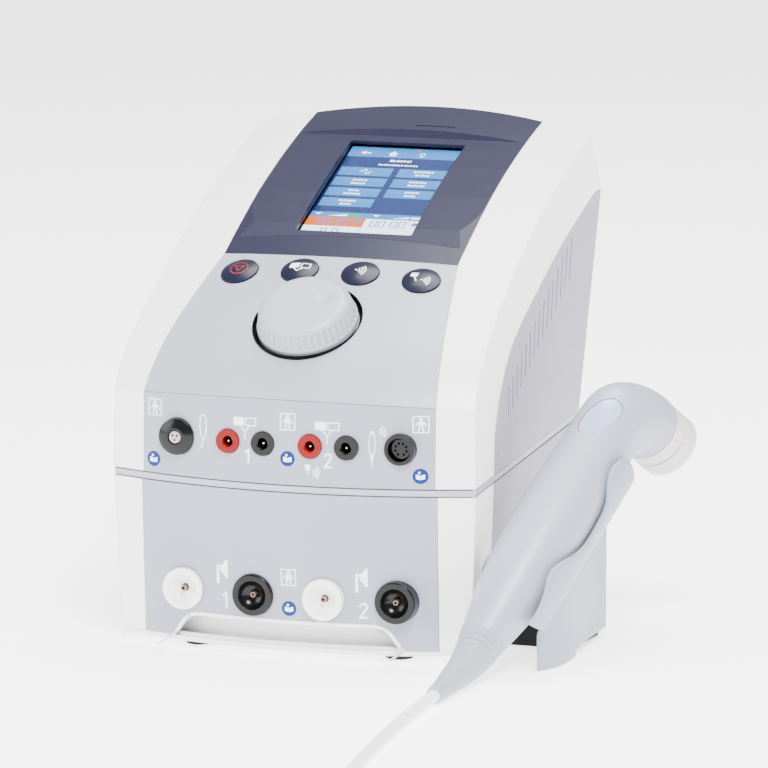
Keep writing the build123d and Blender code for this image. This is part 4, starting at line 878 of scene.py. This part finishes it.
HALF_W, HALF_H = 40.3, 60.9
page("page_ground", box(-HALF_W, -HALF_H, HALF_W, HALF_H), SCREEN_NAVY, 2)
page("page_top_bar", box(-HALF_W, 47.5, HALF_W, HALF_H), SCREEN_LIGHT, ON_GROUND)
icon_frames = []
for x0 in (-38.5, -17.5, 3.0):
    icon_frames += frame_box(x0, 48.4, x0 + 18.5, 57.4, 0.5)
page("page_icon_frames", icon_frames, SCREEN_KEY, ON_FRAME)
arrow = [[(-31.8, 52.9), (-28.6, 55.4), (-28.6, 50.4)]] + box(-28.8, 52.1, -24.4, 53.7)
house = [[(-11.8, 52.6), (-5.0, 52.6), (-8.4, 56.4)]] + box(-10.8, 49.9, -6.0, 52.8)
bulb = ring(2.1, 1.5, (12.2, 53.4)) + box(11.4, 50.0, 13.0, 51.4)
page("page_icons", arrow + house + bulb, SCREEN_WHITE, ON_TOP)
page("page_flag", box(7.0, 58.0, 9.4, 60.0), SCREEN_ORANGE, ON_TOP)
title = []
for k, wide in enumerate((2.2, 1.5, 1.8, 1.6, 1.4, 1.8, 0.8)):
    title += box(-8.0 + 2.4 * k, 42.0, -8.0 + 2.4 * k + wide, 44.8 - 0.5 * (k % 2))
for k in range(14):
    shift = 2.0 * k + 0.6 * (k > 8)
    title += box(-14.4 + shift, 36.6, -13.0 + shift, 38.6 - 0.4 * (k % 3 == 1))
page("page_title_bars", title, SCREEN_WHITE, ON_TOP)
KEY_ROWS = (33.0, 19.0, 5.0, -9.0)
KEY_COLUMNS = ((-39.0, -1.8), (2.6, 39.0))
KEY_HEIGHT = 11.2
PULSE = [(-4, -5.6), (-2, -5.6), (-2, -2.6), (0.4, -2.6), (0.4, -8.4), (3, -8.4), (3, -5.6), (4.6, -5.6)]
keys, key_shine, key_text = [], [], []
for row, top in enumerate(KEY_ROWS):
    for column, (x0, x1) in enumerate(KEY_COLUMNS):
        if row == 3 and column == 1:
            continue
        keys += box(x0, top - KEY_HEIGHT, x1, top)
        key_shine += box(x0 + 0.4, top - 5.2, x1 - 0.4, top - 0.4)
        middle = (x0 + x1) / 2
        if row == 0 and column == 0:
            key_text += stroke([(middle + x, top + y) for x, y in PULSE], 0.7)
            continue
        for level, count in ((3.2, 6 - row % 3 + column), (7.6, 4 + (row + column) % 3)):
            for k in range(count):
                x = middle + (k - count / 2) * 2.1
                key_text += box(x, top - level - 1.2, x + 1.5, top - level + 1.2 - 0.5 * (k % 2))
page("page_keys", keys, SCREEN_LIGHT, ON_GROUND)
page("page_key_shine", key_shine, SCREEN_KEY, ON_BAR)
page("page_key_text", key_text, SCREEN_WHITE, ON_TOP)
page("page_status_bar", box(-HALF_W, -35.0, HALF_W, -28.0), SCREEN_LIGHT, ON_GROUND)
page("page_level_patch", box(-14.0, -34.0, -5.6, -29.2), SCREEN_GREEN, ON_TOP)
level = [[(-28.0, -33.0), (-14.4, -33.0), (-14.4, -30.0)], [(18.0, -33.2), (29.0, -33.2), (29.0, -30.4)]]
level += [[(-37.5, -29.6), (-32.5, -29.6), (-35.0, -32.6)], [(3.5, -29.6), (8.5, -29.6), (6.0, -32.6)]]
level += box(30.5, -33.0, 37.5, -30.6)
page("page_levels", level, SCREEN_WHITE, ON_TOP)
page("page_left_timer", box(-HALF_W, -46.6, -0.2, -35.0), SCREEN_ORANGE, ON_GROUND)
page("page_right_block", box(0.2, -HALF_H, HALF_W, -35.0), SCREEN_WHITE, ON_GROUND)
page("page_left_block", box(-HALF_W, -HALF_H, -0.2, -46.6), SCREEN_WHITE, ON_GROUND)
numbers = shifted(digits("00:00", 6.6, 0.8), -21.5, -40.9) + ring(2.0, at=(-4.6, -39.4), steps=20)
numbers += shifted(digits("00:00", 7.6, 0.9), 17.0, -41.2) + ring(2.2, at=(35.6, -40.0), steps=20)
numbers += shifted(digits("0.0", 7.0, 0.9), -20.5, -53.4)
for k in range(4):
    numbers += box(-12.4 + 2.2 * k, -56.6, -10.8 + 2.2 * k, -55.0)
    numbers += box(30 + 1.8 * k, -58.4, 31.3 + 1.8 * k, -56.6)
page("page_numbers", numbers, SCREEN_LIGHT, ON_TOP)
